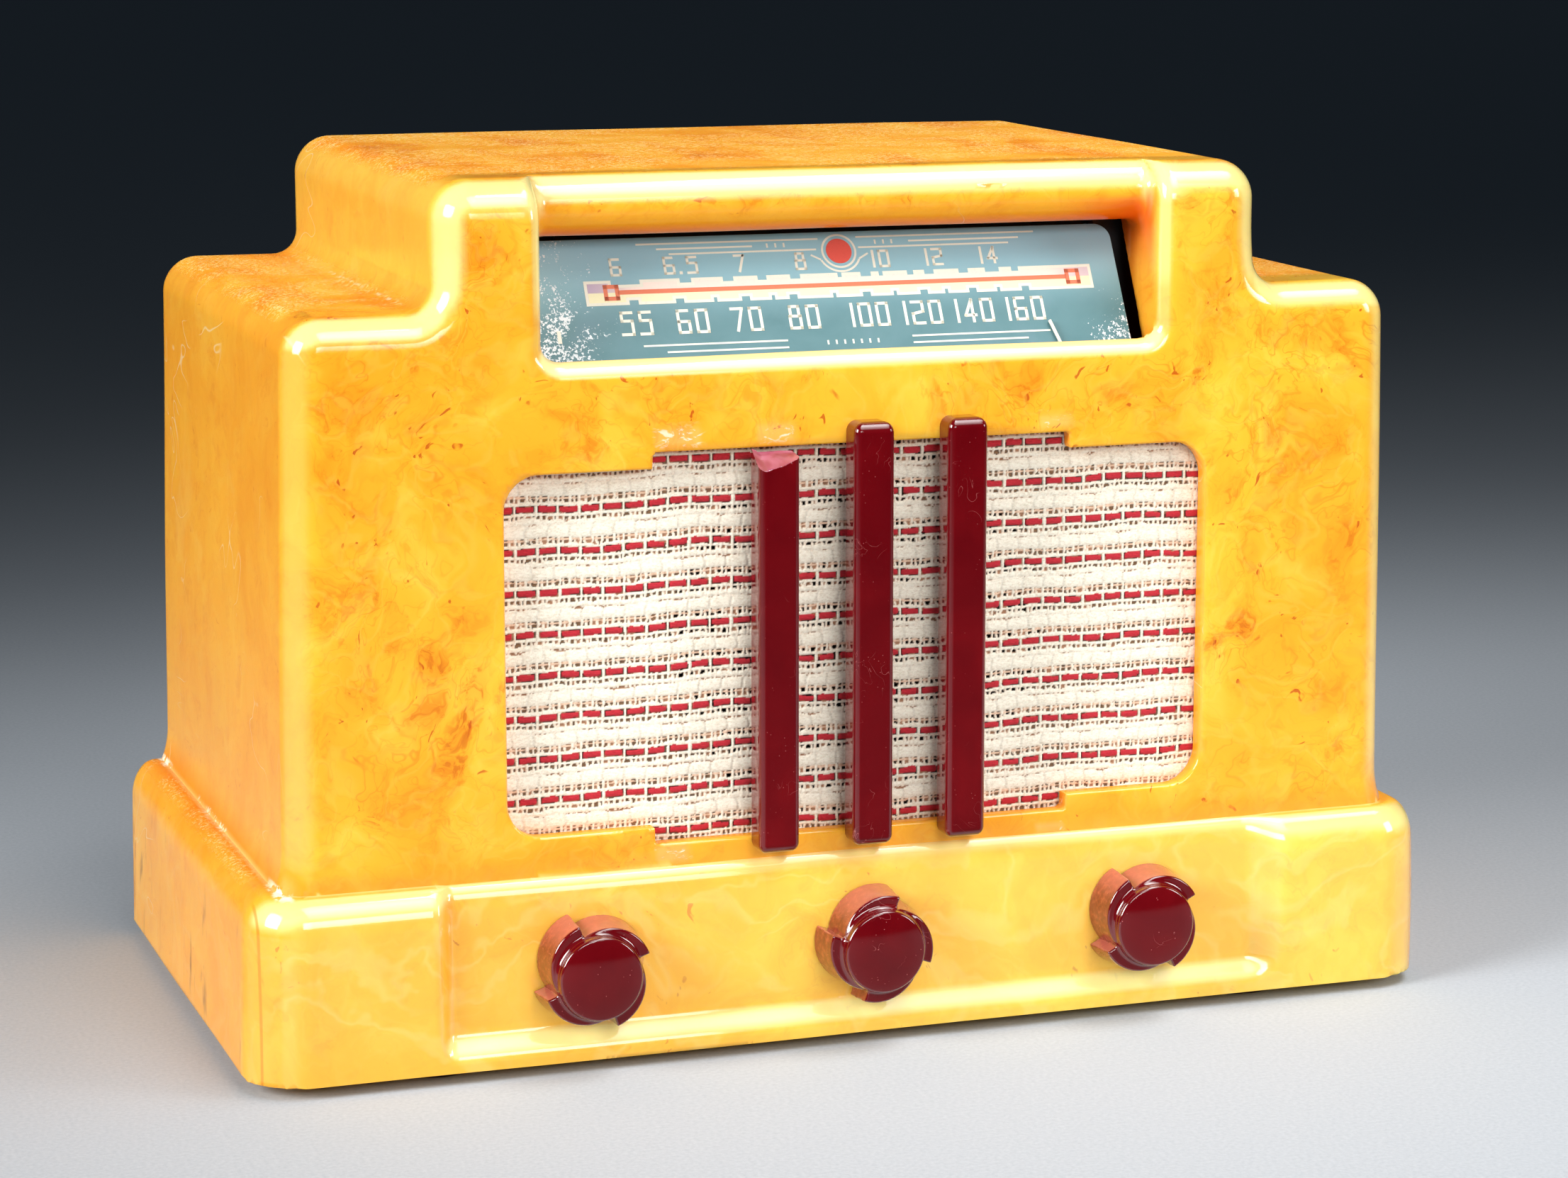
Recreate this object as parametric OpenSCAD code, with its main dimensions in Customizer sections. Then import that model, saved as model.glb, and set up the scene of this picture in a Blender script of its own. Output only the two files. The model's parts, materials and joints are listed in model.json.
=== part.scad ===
// Table radio in a marbled cast-resin cabinet: stepped case on a plinth,
// three grille bars, three lobed knobs, slide-rule dial, five valves.
// Case frame used inside the modules: x from the middle, y from the body's
// front face towards the back, z from the plinth's underside. at_case() sets
// it on the feet with the origin under the middle of the whole object.

/* [Case] */
// width of the plinth
plinth_w = 300; // [296:1:304]
// height of the plinth
plinth_h = 43.8; // [42:0.1:45]
// how far the plinth stands in front of the body
plinth_f = 5.9; // [5.5:0.1:6.5]
// width of the body above the plinth
body_w = 277.6; // [275:0.2:280]
// height of the body's shoulders over the plinth underside
body_h = 175.5; // [173:0.1:177]
// width of the middle tower
tower_w = 205.4; // [203:0.2:207]
// height of the tower over the plinth underside
tower_h = 205.6; // [205:0.1:207]
// depth of the case behind the body's front face
case_d = 151; // [150:0.5:152]
// wall thickness of the casting
wall = 4.6; // [4.2:0.1:5]

/* [Grille] */
// half width of the cloth opening
open_x = 87.8; // [86:0.1:89]
// bottom of the cloth opening
open_z0 = 52.9; // [52:0.1:54]
// top of the cloth opening
open_z1 = 138.1; // [137:0.1:139]
// width of one grille bar
bar_w = 10; // [9:0.5:11]
// spacing of the grille bars
bar_pitch = 23.5; // [22:0.5:25]

/* [Knobs] */
// spacing of the knobs
knob_pitch = 70; // [69:0.5:71]
// height of the knob axes over the plinth underside
knob_z = 22; // [21.5:0.1:22.5]
// diameter of the control shafts
shaft_d = 6.35; // [6.3:0.01:6.4]
// radial clearance of a running fit
run_c = 0.05; // [0.03:0.01:0.08]

/* [Dial] */
// lean of the dial plate away from upright, degrees
dial_tilt = 30; // [28:1:32]
// half width of the dial plate
dial_x = 71; // [70:0.5:72]
// place of the pointer along the scale, as photographed
point_x = 52.5; // [51.5:0.5:53.5]

/* [Feet] */
// height of the rubber feet
foot_h = 3; // [2.6:0.1:3.5]

/* [Hidden] */
$fn = 64;
e = 0.01;
py = plinth_w/2;
bx = body_w/2;
tx = tower_w/2;
knob_face = 16.6;                 // dome of the knobs in front of y = 0
screw_back = 2.2;                 // screw heads behind the back cover
cover_y = case_d - 3.5;           // inner face of the back cover
cover_t = 3;
back_y = cover_y + cover_t + screw_back;
oy = -(back_y - knob_face)/2;     // sets the middle of the whole box at y = 0
win_x0 = -77.8;                    // sides of the scoop over the dial
win_x1 = 75.4;
panel_y = -2.8;                   // face of the knob panel in the recess
spk_z = 95.5;                     // middle of the loudspeaker
drum_x = 97;
drum_z = 60;
cord_y = 20;
cord_r = 0.4;
drum_r = 33.6;                    // bottom of the cord groove
cord_R = drum_r + 0.6;            // cord's middle on the drum
pul_r = 5.7;                      // bottom of a pulley groove
cord_p = pul_r + 0.6;             // cord's middle on a pulley
run_hi = 156.3;                   // upper cord run
run_lo = run_hi - 2*cord_p;
pul_z = run_hi - cord_p;
pl = [-78, pul_z];                // left pulley
pr = [drum_x + cord_R - cord_p, pul_z];    // right pulley
pm = [37.7, run_lo - cord_p];     // return pulley
rail_y = 12.5;
rail_z = 158;
chassis_x = 127;
chassis_y0 = 14;
chassis_y1 = 134;
chassis_z = 38;
steel_t = 1.2;
foot_pos = [[-104, 11], [104, 11], [-126, 138], [126, 138]];
bolt_pos = [[-112, 34], [112, 34], [-112, 121], [112, 121]];
cover_pos = [[-136, 16], [136, 16], [-126, 162], [126, 162], [0, 194.5], [0, 9.6]];
valve_pos = [[-102, 112], [-60, 115], [-18, 112], [24, 115], [66, 108]];
can_pos = [[-82, 80], [50, 60], [-46, 60]];
ctl = [-knob_pitch, 0, knob_pitch];

module at_case() translate([0, oy, foot_h]) children();

// rectangle with round corners, lower left at the origin
module rrect(w, h, r) {
  translate([r, 0]) square([w - 2*r, h]);
  translate([0, r]) square([w, h - 2*r]);
  for (x = [r, w - r], y = [r, h - r]) translate([x, y]) circle(r);
}
// outline that is round only at its two upper corners, middle at x = 0
module arch(w, h, r) {
  translate([-w/2, 0]) square([w, h - r]);
  translate([-w/2 + r, 0]) square([w - 2*r, h]);
  for (s = [-1, 1]) translate([s*(w/2 - r), h - r]) circle(r);
}
// extrude a drawing of (x, z) from y0 to y1
module along_y(y0, y1) translate([0, y1, 0]) rotate([90, 0, 0]) linear_extrude(y1 - y0) children();
// extrude a drawing of (y, z) from x0 to x1
module along_x(x0, x1) translate([x0, 0, 0]) rotate([90, 0, 90]) linear_extrude(x1 - x0) children();
// cylinder on the y axis from y0 to y1 at (x, z)
module ycyl(x, z, d, y0, y1) translate([x, y1, z]) rotate([90, 0, 0]) cylinder(h = y1 - y0, d = d);

// one block of the case: front elevation, plan and side view cut together
module block(w, z0, z1, y0, y1, r_elev, r_plan, r_side) {
  intersection() {
    translate([0, 0, z0]) along_y(y0, y1) arch(w, z1 - z0, r_elev);
    translate([0, y1, z0]) rotate([0, 0, 180]) linear_extrude(z1 - z0) arch(w, y1 - y0, r_plan);
    along_x(-w/2, w/2) {
      translate([y0, z0]) square([y1 - y0, z1 - z0 - r_side]);
      translate([y0 + r_side, z0]) square([y1 - y0 - r_side, z1 - z0]);
      translate([y0 + r_side, z1 - r_side]) circle(r_side);
    }
  }
}

module cabinet() color("#F2B632") at_case() {
  cx = bx - wall;
  ctx = tx - wall;
  difference() {
    union() {
      difference() {
        union() {
          block(plinth_w, 0, plinth_h, -plinth_f, case_d, 7.5, 15, 5.5);
          block(body_w, 10, body_h, 0, case_d, 8.5, 8, 8);
          block(tower_w, 10, tower_h, 0, case_d, 9.5, 10, 10);
          // fillet where the shoulder meets the tower
          for (s = [-1, 1]) along_y(8, case_d) difference() {
            translate([s > 0 ? tx - 1 : -tx - 6, body_h - 1]) square([7, 7]);
            translate([s*(tx + 6), body_h + 6]) circle(6);
          }
        }
        // hollow
        translate([0, 0, wall]) along_y(wall, case_d + 1) translate([-py + wall + 0.4, 0]) square([plinth_w - 2*wall - 0.8, plinth_h - 2*wall - 3]);
        along_y(wall, case_d + 1) translate([-cx, wall + 1]) rrect(2*cx, body_h - 2*wall - 1, 5);
        along_y(wall, case_d + 1) translate([-ctx, 60]) rrect(2*ctx, tower_h - wall - 60, 5);
        // scoop over the dial, leaves the rounded brow
        difference() {
          translate([win_x0 - 1, -1, 175]) cube([win_x1 - win_x0 + 2, 15.5, 40]);
          along_x(win_x0 - 2, win_x1 + 2) translate([14.5, tower_h - 7]) circle(7);
        }
        along_x(win_x0, win_x1) polygon([[-1, 161.6], [2.5, 163.4], [6, 163.4], [60, 163.4], [60, tower_h - 14], [-1, tower_h - 14]]);
      }
      // brow and the cheeks beside the dial
      along_x(win_x0 - 2, win_x1 + 2) { translate([14.5, tower_h - 7]) circle(7); translate([14.5, tower_h - 14]) square([5, 13]); }
      for (s = [-1, 1]) along_x(s > 0 ? win_x1 : win_x0 - 4, s > 0 ? win_x1 + 4 : win_x0)
        polygon([[2, 158], [9, 158], [25, 190], [25, 204], [8, 204], [2, 198]]);
      // posts for the back cover, running forward to a wall or rib
      for (p = cover_pos) ycyl(p[0], p[1], 9.6, cover_y - 12, cover_y);
      translate([-4.8, cover_y - 12, cover_pos[4][1]]) cube([9.6, 12, tower_h - 2 - cover_pos[4][1]]);
      translate([-4.8, cover_y - 12, 2]) cube([9.6, 12, cover_pos[5][1] - 2]);
      for (s = [-1, 1]) translate([s > 0 ? 136 : -146, cover_y - 12, 11.2]) cube([10, 12, 9.6]);
      for (s = [-1, 1]) translate([s > 0 ? 126 : -136, cover_y - 12, 157.2]) cube([10, 12, 9.6]);
      // posts for the dial bracket
      for (s = [-1, 1]) ycyl(s*90, 180, 8, wall - 1, 27);
    }
    // grille opening, stepped in the middle
    along_y(-1, wall + 1) {
      translate([-open_x, open_z0]) rrect(2*open_x, open_z1 - open_z0, 7);
      translate([-52.2, open_z0 - 3.9]) rrect(104.4, open_z1 - open_z0 + 7.8, 2);
    }
    // knob recess
    translate([-105, -plinth_f - 1, 4.2]) cube([210, plinth_f + 1 + panel_y, plinth_h - 10]);
    translate([-105, -plinth_f - 1, plinth_h - 7]) cube([210, plinth_f - 2, 8]);
    for (x = ctl) ycyl(x, knob_z, 11, panel_y - 2, wall + 1);
    for (p = cover_pos) ycyl(p[0], p[1], 2.8, cover_y - 10.5, cover_y + e);
    for (s = [-1, 1]) ycyl(s*90, 180, 2.8, 17, 27 + e);
    for (x = [-108, 108], z = [62, 130]) ycyl(x, z, 2.6, 1.6, wall + 1);
    for (p = bolt_pos) translate([p[0], p[1], -1]) cylinder(h = wall + 3, d = 4.3);
    for (p = foot_pos) translate([p[0], p[1], -1]) cylinder(h = 4.2, d = 2.6);
  }
}

// grille bar, cemented on the front; short tops the broken one
module bar(x, top) color("#6E0C14") at_case() intersection() {
  along_y(-6.8, 0) translate([x - bar_w/2, 46]) rrect(bar_w, 101.5, 3);
  translate([0, 0, 46]) linear_extrude(top - 46) translate([x, 0]) {
    translate([-bar_w/2, -4.6]) square([bar_w, 5]);
    translate([-bar_w/2 + 2.2, -6.8]) square([bar_w - 4.4, 6.8]);
    for (s = [-1, 1]) translate([s*(bar_w/2 - 2.2), -4.6]) circle(2.2);
  }
}
module bar_left() bar(-bar_pitch, 140);
module bar_middle() bar(0, 147.5);
module bar_right() bar(bar_pitch, 147.5);

module grille_cloth() color("#D8CFAE") at_case()
  along_y(wall, wall + 0.6) difference() {
    translate([-114, 47]) square([228, 99]);
    for (x = [-108, 108], z = [62, 130]) translate([x, z]) circle(d = 3);
  }

module baffle_board() color("#6B4A2B") at_case()
  along_y(wall + 0.6, wall + 3.6) difference() {
    translate([-116, 45.5]) square([232, 102]);
    translate([0, spk_z]) circle(47);
    for (x = [-108, 108], z = [62, 130]) translate([x, z]) circle(d = 3);
    for (a = [45:90:315]) translate([57.3*cos(a), spk_z + 57.3*sin(a)]) circle(d = 3);
  }

module baffle_screws() color("#8C8C88") at_case()
  for (x = [-108, 108], z = [62, 130]) {
    ycyl(x, z, 2.6, 2, wall + 3.6 + e);
    ycyl(x, z, 6, wall + 3.6, wall + 5.2);
  }

// loudspeaker about the y axis at z = spk_z; profile drawn as (radius, -y)
module about_speaker() translate([0, 0, spk_z]) rotate([90, 0, 0]) rotate_extrude($fn = 96) children();
sy0 = wall + 3.6;                 // front of the loudspeaker flange

module speaker_frame() color("#4C4F52") at_case() difference() {
  about_speaker() polygon([[50.5, -sy0], [61.5, -sy0], [61.5, -sy0 - 1.5], [53, -sy0 - 1.5], [25, -38], [25, -40], [9, -40], [9, -38.6], [23.4, -38.6], [50.5, -sy0 - 3]]);
  for (a = [45:90:315]) ycyl(57.3*cos(a), spk_z + 57.3*sin(a), 3.6, 0, 20);
  for (a = [0:60:300]) translate([0, 0, spk_z]) rotate([0, a, 0]) translate([-9, 20, 20]) cube([18, 14, 40]);
}

module speaker_cone() color("#3B332B") at_case()
  about_speaker() polygon([[49.3, -sy0 - 1.2], [49.3, -sy0 - 2], [46, -sy0 - 2.3], [13, -32.6], [12.2, -32.6], [12.2, -36.8], [11.3, -36.8], [11.3, -32], [6, -29.6], [0, -28.6], [0, -27.6], [6.4, -28.6], [13, -31.2], [45.4, -sy0 - 1.2]]);

module speaker_magnet() color("#2F3133") at_case()
  about_speaker() polygon([[9, -40], [25, -40], [25, -76], [22, -78], [0, -78], [0, -44], [9, -44]]);

module speaker_screws() color("#9A9A94") at_case()
  for (a = [45:90:315]) {
    ycyl(57.3*cos(a), spk_z + 57.3*sin(a), 3, wall + 1.4, sy0 + 1.5 + e);
    ycyl(57.3*cos(a), spk_z + 57.3*sin(a), 6.4, sy0 + 1.5, sy0 + 3.4);
  }

module output_transformer() color("#3F3A36") at_case() translate([-96, 46, chassis_z]) {
  difference() {
    translate([-20, -11, 2]) cube([40, 22, 34]);
    for (s = [-1, 1]) translate([s*9 - 4, -12, 9]) cube([8, 24, 20]);
  }
  translate([-12.8, -15, 9.2]) cube([25.6, 30, 19.6]);
  for (s = [-1, 1]) translate([s > 0 ? 19 : -27, -11, 0]) cube([8, 22, 2]);
  translate([-20, -11, 0]) cube([40, 22, 2]);
}

module chassis() color("#A7A9A2") at_case() difference() {
  union() {
    difference() {
      translate([-chassis_x, chassis_y0, wall]) cube([2*chassis_x, chassis_y1 - chassis_y0, chassis_z - wall]);
      translate([-chassis_x + steel_t, chassis_y0 + steel_t, wall - 1]) cube([2*chassis_x - 2*steel_t, chassis_y1 - chassis_y0 - 2*steel_t, chassis_z - wall - steel_t + 1]);
    }
    // folded feet with their nuts
    for (p = bolt_pos) {
      translate([p[0] < 0 ? -chassis_x : p[0] - 9, p[1] - 9, wall]) cube([chassis_x - 112 + 9, 18, 1.5]);
      translate([p[0], p[1], wall]) cylinder(h = 6, d = 9, $fn = 6);
    }
  }
  for (p = bolt_pos) translate([p[0], p[1], 0]) cylinder(h = 20, d = 4);
  for (x = ctl) ycyl(x, knob_z, 9.6, chassis_y0 - 1, chassis_y0 + 3);
  for (p = valve_pos) translate([p[0], p[1], chassis_z - 3]) cylinder(h = 5, d = 26);
  // slot for the drum and the cord
  translate([57, 16.5, chassis_z - 3]) cube([70.5 - steel_t, 8, 6]);
  // openings under the cans
  for (p = can_pos) translate([p[0], p[1], chassis_z - 3]) cylinder(h = 6, d = 12);
}

module chassis_bolts() color("#8F9088") at_case()
  for (p = bolt_pos) translate([p[0], p[1], 0]) {
    translate([0, 0, -2.2]) cylinder(h = 2.2, d = 8);
    cylinder(h = wall + 9.5, d = 4);
  }

module rubber_feet() color("#2A1B18") at_case()
  for (p = foot_pos) translate([p[0], p[1], -foot_h]) difference() {
    cylinder(h = foot_h, d = 18);
    translate([0, 0, -1]) cylinder(h = 2.8, d = 8);
    cylinder(h = foot_h + 1, d = 3);
  }

module foot_screws() color("#8F9088") at_case()
  for (p = foot_pos) translate([p[0], p[1], 0]) {
    translate([0, 0, -foot_h + 0.4]) cylinder(h = 1.4, d = 6);
    translate([0, 0, -foot_h + 1.8 - e]) cylinder(h = foot_h + 1.2, d = 2.6);
  }

// four-lobed knob; the rim grows clockwise seen from the front, then steps
module lobes(r, grow) for (a = [0:90:270]) rotate(a) intersection() {
  translate([0, 0]) square(r + grow + 3);
  translate([0, grow]) circle(r);
}
// D-shaped outline: circle with a flat towards +x
module dee(d, flat) intersection() { circle(d = d); translate([-d, -d]) square([d + flat, 2*d]); }
module knob_body(x, turn) color("#6E0C14") at_case() translate([x, 0, knob_z]) rotate([90, 0, 0]) {
  difference() {
    union() {
      translate([0, 0, 3.4]) linear_extrude(7.8) rotate(turn) lobes(11.7, 1.8);
      translate([0, 0, 11.2]) linear_extrude(1.6) rotate(turn) lobes(11, 1.6);
      translate([0, 0, 12.8]) cylinder(h = 2.2, d = 20.6);
      intersection() {
        translate([0, 0, 15 - e]) cylinder(h = 2, d = 20.6);
        translate([0, 0, knob_face - 36]) sphere(r = 36, $fn = 96);
      }
    }
    translate([0, 0, 3.3]) linear_extrude(7.2) rotate(turn) dee(shaft_d, 2.6);
    translate([0, 0, 3.3]) cylinder(h = 1.3, d = 12);
  }
}
// spring leaf between the shaft's flat and the knob's
module knob_clip(x, turn) color("#B08D57") at_case() translate([x, 0, knob_z]) rotate([90, 0, 0])
  translate([0, 0, 4.8]) linear_extrude(5) rotate(turn) translate([2, -1.6]) square([0.6, 3.2]);
module shaft(x, turn, back) translate([x, 0, knob_z]) rotate([90, 0, 0]) rotate(turn) difference() {
  translate([0, 0, -back]) cylinder(h = back + 10.3, d = shaft_d);
  translate([2, -5, 0.4]) cube([5, 10, 12]);
}

module volume_knob() knob_body(ctl[0], 20);
module band_knob() knob_body(ctl[1], -20);
module tuning_knob() knob_body(ctl[2], 28);
module volume_clip() knob_clip(ctl[0], 20);
module band_clip() knob_clip(ctl[1], -20);
module tuning_clip() knob_clip(ctl[2], 28);
module volume_shaft() color("#9DA0A0") at_case() { shaft(ctl[0], 20, 20); ycyl(ctl[0], knob_z, 10, 18.5, 20); }
module band_shaft() color("#9DA0A0") at_case() { shaft(ctl[1], -20, 20); ycyl(ctl[1], knob_z, 10, 18.5, 20); }
module tuning_shaft() color("#9DA0A0") at_case() { shaft(ctl[2], 28, 25); for (y = [17.6, 22.4]) ycyl(ctl[2], knob_z, 12, y - 0.5, y + 0.5); }

// threaded sleeve of a control, from behind the panel to the chassis front
module sleeve(x) difference() {
  ycyl(x, knob_z, 9.5, 8, chassis_y0 + 2.2);
  ycyl(x, knob_z, shaft_d + 2*run_c, 7, chassis_y0 + 3);
}
module volume_control() color("#7C6F58") at_case() {
  sleeve(ctl[0]);
  difference() {
    union() {
      ycyl(ctl[0], knob_z, 25, chassis_y0 + steel_t, 28);
      ycyl(ctl[0], knob_z, 22, 28 - e, 37);
      translate([ctl[0] - 9, chassis_y0 + steel_t, 8]) cube([18, 2, 10]);
    }
    ycyl(ctl[0], knob_z, shaft_d + 2*run_c, chassis_y0, 19);
    ycyl(ctl[0], knob_z, 11, 18, 21);
  }
}
module band_switch() color("#8A5A2B") at_case() {
  sleeve(ctl[1]);
  difference() {
    union() {
      ycyl(ctl[1], knob_z, 21, chassis_y0 + steel_t, 22.5);
      translate([ctl[1] - 16, 22.5 - e, knob_z - 11]) cube([32, 1.8, 22]);
      for (s = [-1, 1]) ycyl(ctl[1] + s*12.5, knob_z, 4, 22.5, 31);
      translate([ctl[1] - 16, 31 - e, knob_z - 11]) cube([32, 1.8, 22]);
    }
    ycyl(ctl[1], knob_z, shaft_d + 2*run_c, chassis_y0, 19);
    ycyl(ctl[1], knob_z, 11, 18, 21);
  }
}
module tuning_bush() color("#B7A15E") at_case() {
  sleeve(ctl[2]);
  difference() {
    ycyl(ctl[2], knob_z, 14, chassis_y0 + steel_t, chassis_y0 + 2.8);
    ycyl(ctl[2], knob_z, shaft_d + 2*run_c, chassis_y0, 19);
  }
}
module control_nuts() color("#9A9A94") at_case()
  for (x = ctl) difference() {
    translate([x, chassis_y0, knob_z]) rotate([90, 0, 0]) cylinder(h = 2.6, d = 14, $fn = 6);
    ycyl(x, knob_z, 9.5, 8, 18);
  }

// local frame of the leaning dial: plate front on y = 0, z up the plate
module on_dial() translate([0, 8, 163.4]) rotate([-dial_tilt, 0, 0]) children();
module dial_plate() color("#64909A") at_case() on_dial()
  translate([0, 1.2, 0]) rotate([90, 0, 0]) linear_extrude(1.2) {
    translate([-dial_x, -1]) square([2*dial_x, 27]);
    translate([-dial_x + 4, -1]) square([2*dial_x - 8, 31]);
    for (s = [-1, 1]) translate([s*(dial_x - 4), 26]) circle(4);
  }

module dial_bracket() color("#1B1B1B") at_case() difference() {
  union() {
    along_y(27, 28.2) {
      translate([-96, 143]) square([192, 47.5]);
      translate([90, 143]) square([pr[0] + 7 - 90, 15]);
      translate([pm[0] - 6, pm[1] - 6]) square([12, 20]);
    }
    // cheeks and the strips that the plate lies on
    for (s = [-1, 1]) {
      along_x(s > 0 ? 66.8 : -68, s > 0 ? 68 : -66.8)
        polygon([[27.1, 146], [27.1, 190], [25.4, 190], [9.6, 162.8], [9.6, 155], [15, 146]]);
      on_dial() translate([s > 0 ? 60 : -68, 1.2, 0]) cube([8, 1.2, 28]);
    }
    for (p = [pl, pr, pm]) {
      ycyl(p[0], p[1], 3, 17.2, 27.1);
      ycyl(p[0], p[1], 5, 17.2, 17.8);
      ycyl(p[0], p[1], 6, 22.3, 27.1);
    }
  }
  for (s = [-1, 1]) {
    ycyl(s*90, 180, 3.4, 26, 30);
    ycyl(s*36, 173, 10.4, 26, 30);
  }
  for (s = [-1, 1]) along_x(s > 0 ? 66 : -69, s > 0 ? 69 : -66) {
    translate([cord_y, run_hi]) circle(2);
    translate([rail_y, rail_z]) circle(1);
  }
}
module dial_screws() color("#9A9A94") at_case()
  for (s = [-1, 1]) { ycyl(s*90, 180, 2.8, 18, 28.2 + e); ycyl(s*90, 180, 6.4, 28.2, 30.2); }

module pointer_rail() color("#B9BCBC") at_case() translate([-69.5, rail_y, rail_z]) rotate([0, 90, 0]) cylinder(h = 139, d = 2);

module dial_pointer() color("#E9E3D0") at_case() {
  difference() {
    translate([point_x - 5, 10.6, 153.9]) cube([10, 10.6, 6.2]);
    translate([point_x - 6, rail_y, rail_z]) rotate([0, 90, 0]) cylinder(h = 12, d = 2 + 2*run_c);
    translate([point_x - 6, cord_y, run_hi]) rotate([0, 90, 0]) cylinder(h = 12, d = 1.8);
  }
  // wire: forward under the plate's edge, then up in front of it, bent over
  translate([point_x, 6, 161.5]) {
    sphere(d = 0.8);
    rotate([-107, 0, 0]) translate([0, 0, 0]) cylinder(h = 5.4, d = 0.8);
    rotate([-dial_tilt, 0, 0]) rotate([0, -16, 0]) cylinder(h = 7.6, d = 0.8);
  }
}

// cord drive: one strand from its end on the drum round the right, left and
// return pulleys and the tuning shaft, and back on to the drum
function arc(c, r, a0, a1, n, y0, y1) = [for (i = [0:n]) let (a = a0 + (a1 - a0)*i/n) [c[0] + r*cos(a), cord_y + y0 + (y1 - y0)*min(1, i*3/n), c[1] + r*sin(a)]];
route = concat(
  arc([drum_x, drum_z], cord_R, -190, 0, 26, 0.5, 0.5),
  arc(pr, cord_p, 0, 90, 7, 0, 0),
  arc(pl, cord_p, 90, 270, 12, 0, 0),
  arc([pm[0], pm[1]], cord_p, 90, 10.6, 6, 0, 0),
  arc([ctl[2], knob_z], 3.9, 190.6, 284, 8, 0, 0),
  arc([drum_x, drum_z], cord_R, -76, 40, 16, -0.5, -0.5));
sides = 8;
function unit(v) = v/norm(v);
function ring(i) = let (t = unit(route[min(i + 1, len(route) - 1)] - route[max(i - 1, 0)]), s = unit(cross(t, [0, 1, 0])), b = cross(s, t))
  [for (k = [0:sides - 1]) route[i] + cord_r*(cos(360*k/sides)*s + sin(360*k/sides)*b)];
module dial_cord() color("#B9A67A") at_case() polyhedron(
  [for (i = [0:len(route) - 1]) each ring(i)],
  concat([[for (k = [0:sides - 1]) k]], [[for (k = [sides - 1:-1:0]) (len(route) - 1)*sides + k]],
    [for (i = [0:len(route) - 2], k = [0:sides - 1]) let (a = i*sides + k, b = i*sides + (k + 1)%sides) each [[a, a + sides, b], [b, a + sides, b + sides]]]));

module pulley(c) color("#C9B27A") at_case() translate([c[0], cord_y, c[1]]) rotate([90, 0, 0])
  rotate_extrude() polygon([[1.5 + run_c, -1.8], [7, -1.8], [7, -1.2], [pul_r, -0.6], [pul_r, 0.6], [7, 1.2], [7, 1.8], [1.5 + run_c, 1.8]]);
module pulley_left() pulley(pl);
module pulley_right() pulley(pr);
module pulley_return() pulley(pm);

module drive_drum() color("#8F8F86") at_case() difference() {
  translate([drum_x, cord_y, drum_z]) rotate([90, 0, 0])
    rotate_extrude($fn = 96) polygon([[3, -3.5], [8, -3.5], [8, -0.6], [30, -0.6], [30, -1.9], [36, -1.9], [36, -1.4], [drum_r, -1], [drum_r, 1], [36, 1.4], [36, 1.9], [30, 1.9], [30, 0.6], [3, 0.6]]);
  for (a = [0:60:300]) ycyl(drum_x + 19*cos(a), drum_z + 19*sin(a), 12, 10, 30);
}

module gang_rotor() color("#C4C7C6") at_case() {
  ycyl(drum_x, drum_z, 6, 17, 76);
  for (y = [33:2.6:46], s = [0, 24]) intersection() {
    ycyl(drum_x, drum_z, 34, y + s, y + s + 0.9);
    translate([drum_x, 20, drum_z - 20]) cube([20, 60, 40]);
  }
  for (s = [0, 24]) ycyl(drum_x, drum_z, 10, 33 + s, 46.9 + s);
}
module gang_frame() color("#B5B7B2") at_case() difference() {
  union() {
    translate([drum_x - 21, 28, chassis_z]) cube([42, 1.5, 43]);
    translate([drum_x - 21, 52, chassis_z]) cube([42, 1.2, 30]);
    translate([drum_x - 21, 74, chassis_z]) cube([42, 1.5, 43]);
    translate([drum_x - 21, 28, chassis_z]) cube([42, 47.5, 1.5]);
    translate([drum_x - 21, 28, chassis_z]) cube([1.5, 47.5, 5]);
  }
  ycyl(drum_x, drum_z, 6 + 2*run_c, 20, 29.6);
  ycyl(drum_x, drum_z, 6 + 2*run_c, 73, 78);
  ycyl(drum_x, drum_z, 12, 51, 54);
}
module gang_stators() color("#D2D5D3") at_case() for (s = [0, 24]) {
  for (y = [34.6:2.6:45]) difference() {
    translate([drum_x - 19, y + s, drum_z - 17]) cube([19 - 0.5, 0.6, 34]);
    ycyl(drum_x, drum_z, 13, y + s - 1, y + s + 2);
  }
  for (z = [-14, 12]) translate([drum_x - 21, s == 0 ? 29.5 : 53.2, drum_z + z]) cube([2, s == 0 ? 22.5 : 20.8, 2.5]);
}

module lamp_holders() color("#9C8442") at_case()
  for (s = [-1, 1]) difference() {
    union() { ycyl(s*36, 173, 10.4, 26.6, 38); ycyl(s*36, 173, 14, 28.2, 29.4); }
    ycyl(s*36, 173, 8.8, 25, 36);
  }
module dial_lamps() color("#E8E2C8") at_case()
  for (s = [-1, 1]) {
    ycyl(s*36, 173, 8.8, 24.5, 36);
    translate([s*36, 22, 173]) sphere(d = 9);
    ycyl(s*36, 173, 6, 22, 25);
  }

// octal holder riveted in the chassis
module valve_sockets() color("#2B1A10") at_case()
  for (p = valve_pos) translate([p[0], p[1], 0]) difference() {
    union() {
      translate([0, 0, chassis_z - 9]) cylinder(h = 9 + e, d = 25.6);
      translate([0, 0, chassis_z]) cylinder(h = 2, d = 33);
    }
    translate([0, 0, chassis_z - 5]) cylinder(h = 8, d = 8);
    for (a = [0:45:315]) rotate(a) translate([8.7, 0, chassis_z - 7]) cylinder(h = 10, d = 2.4);
  }
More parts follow.
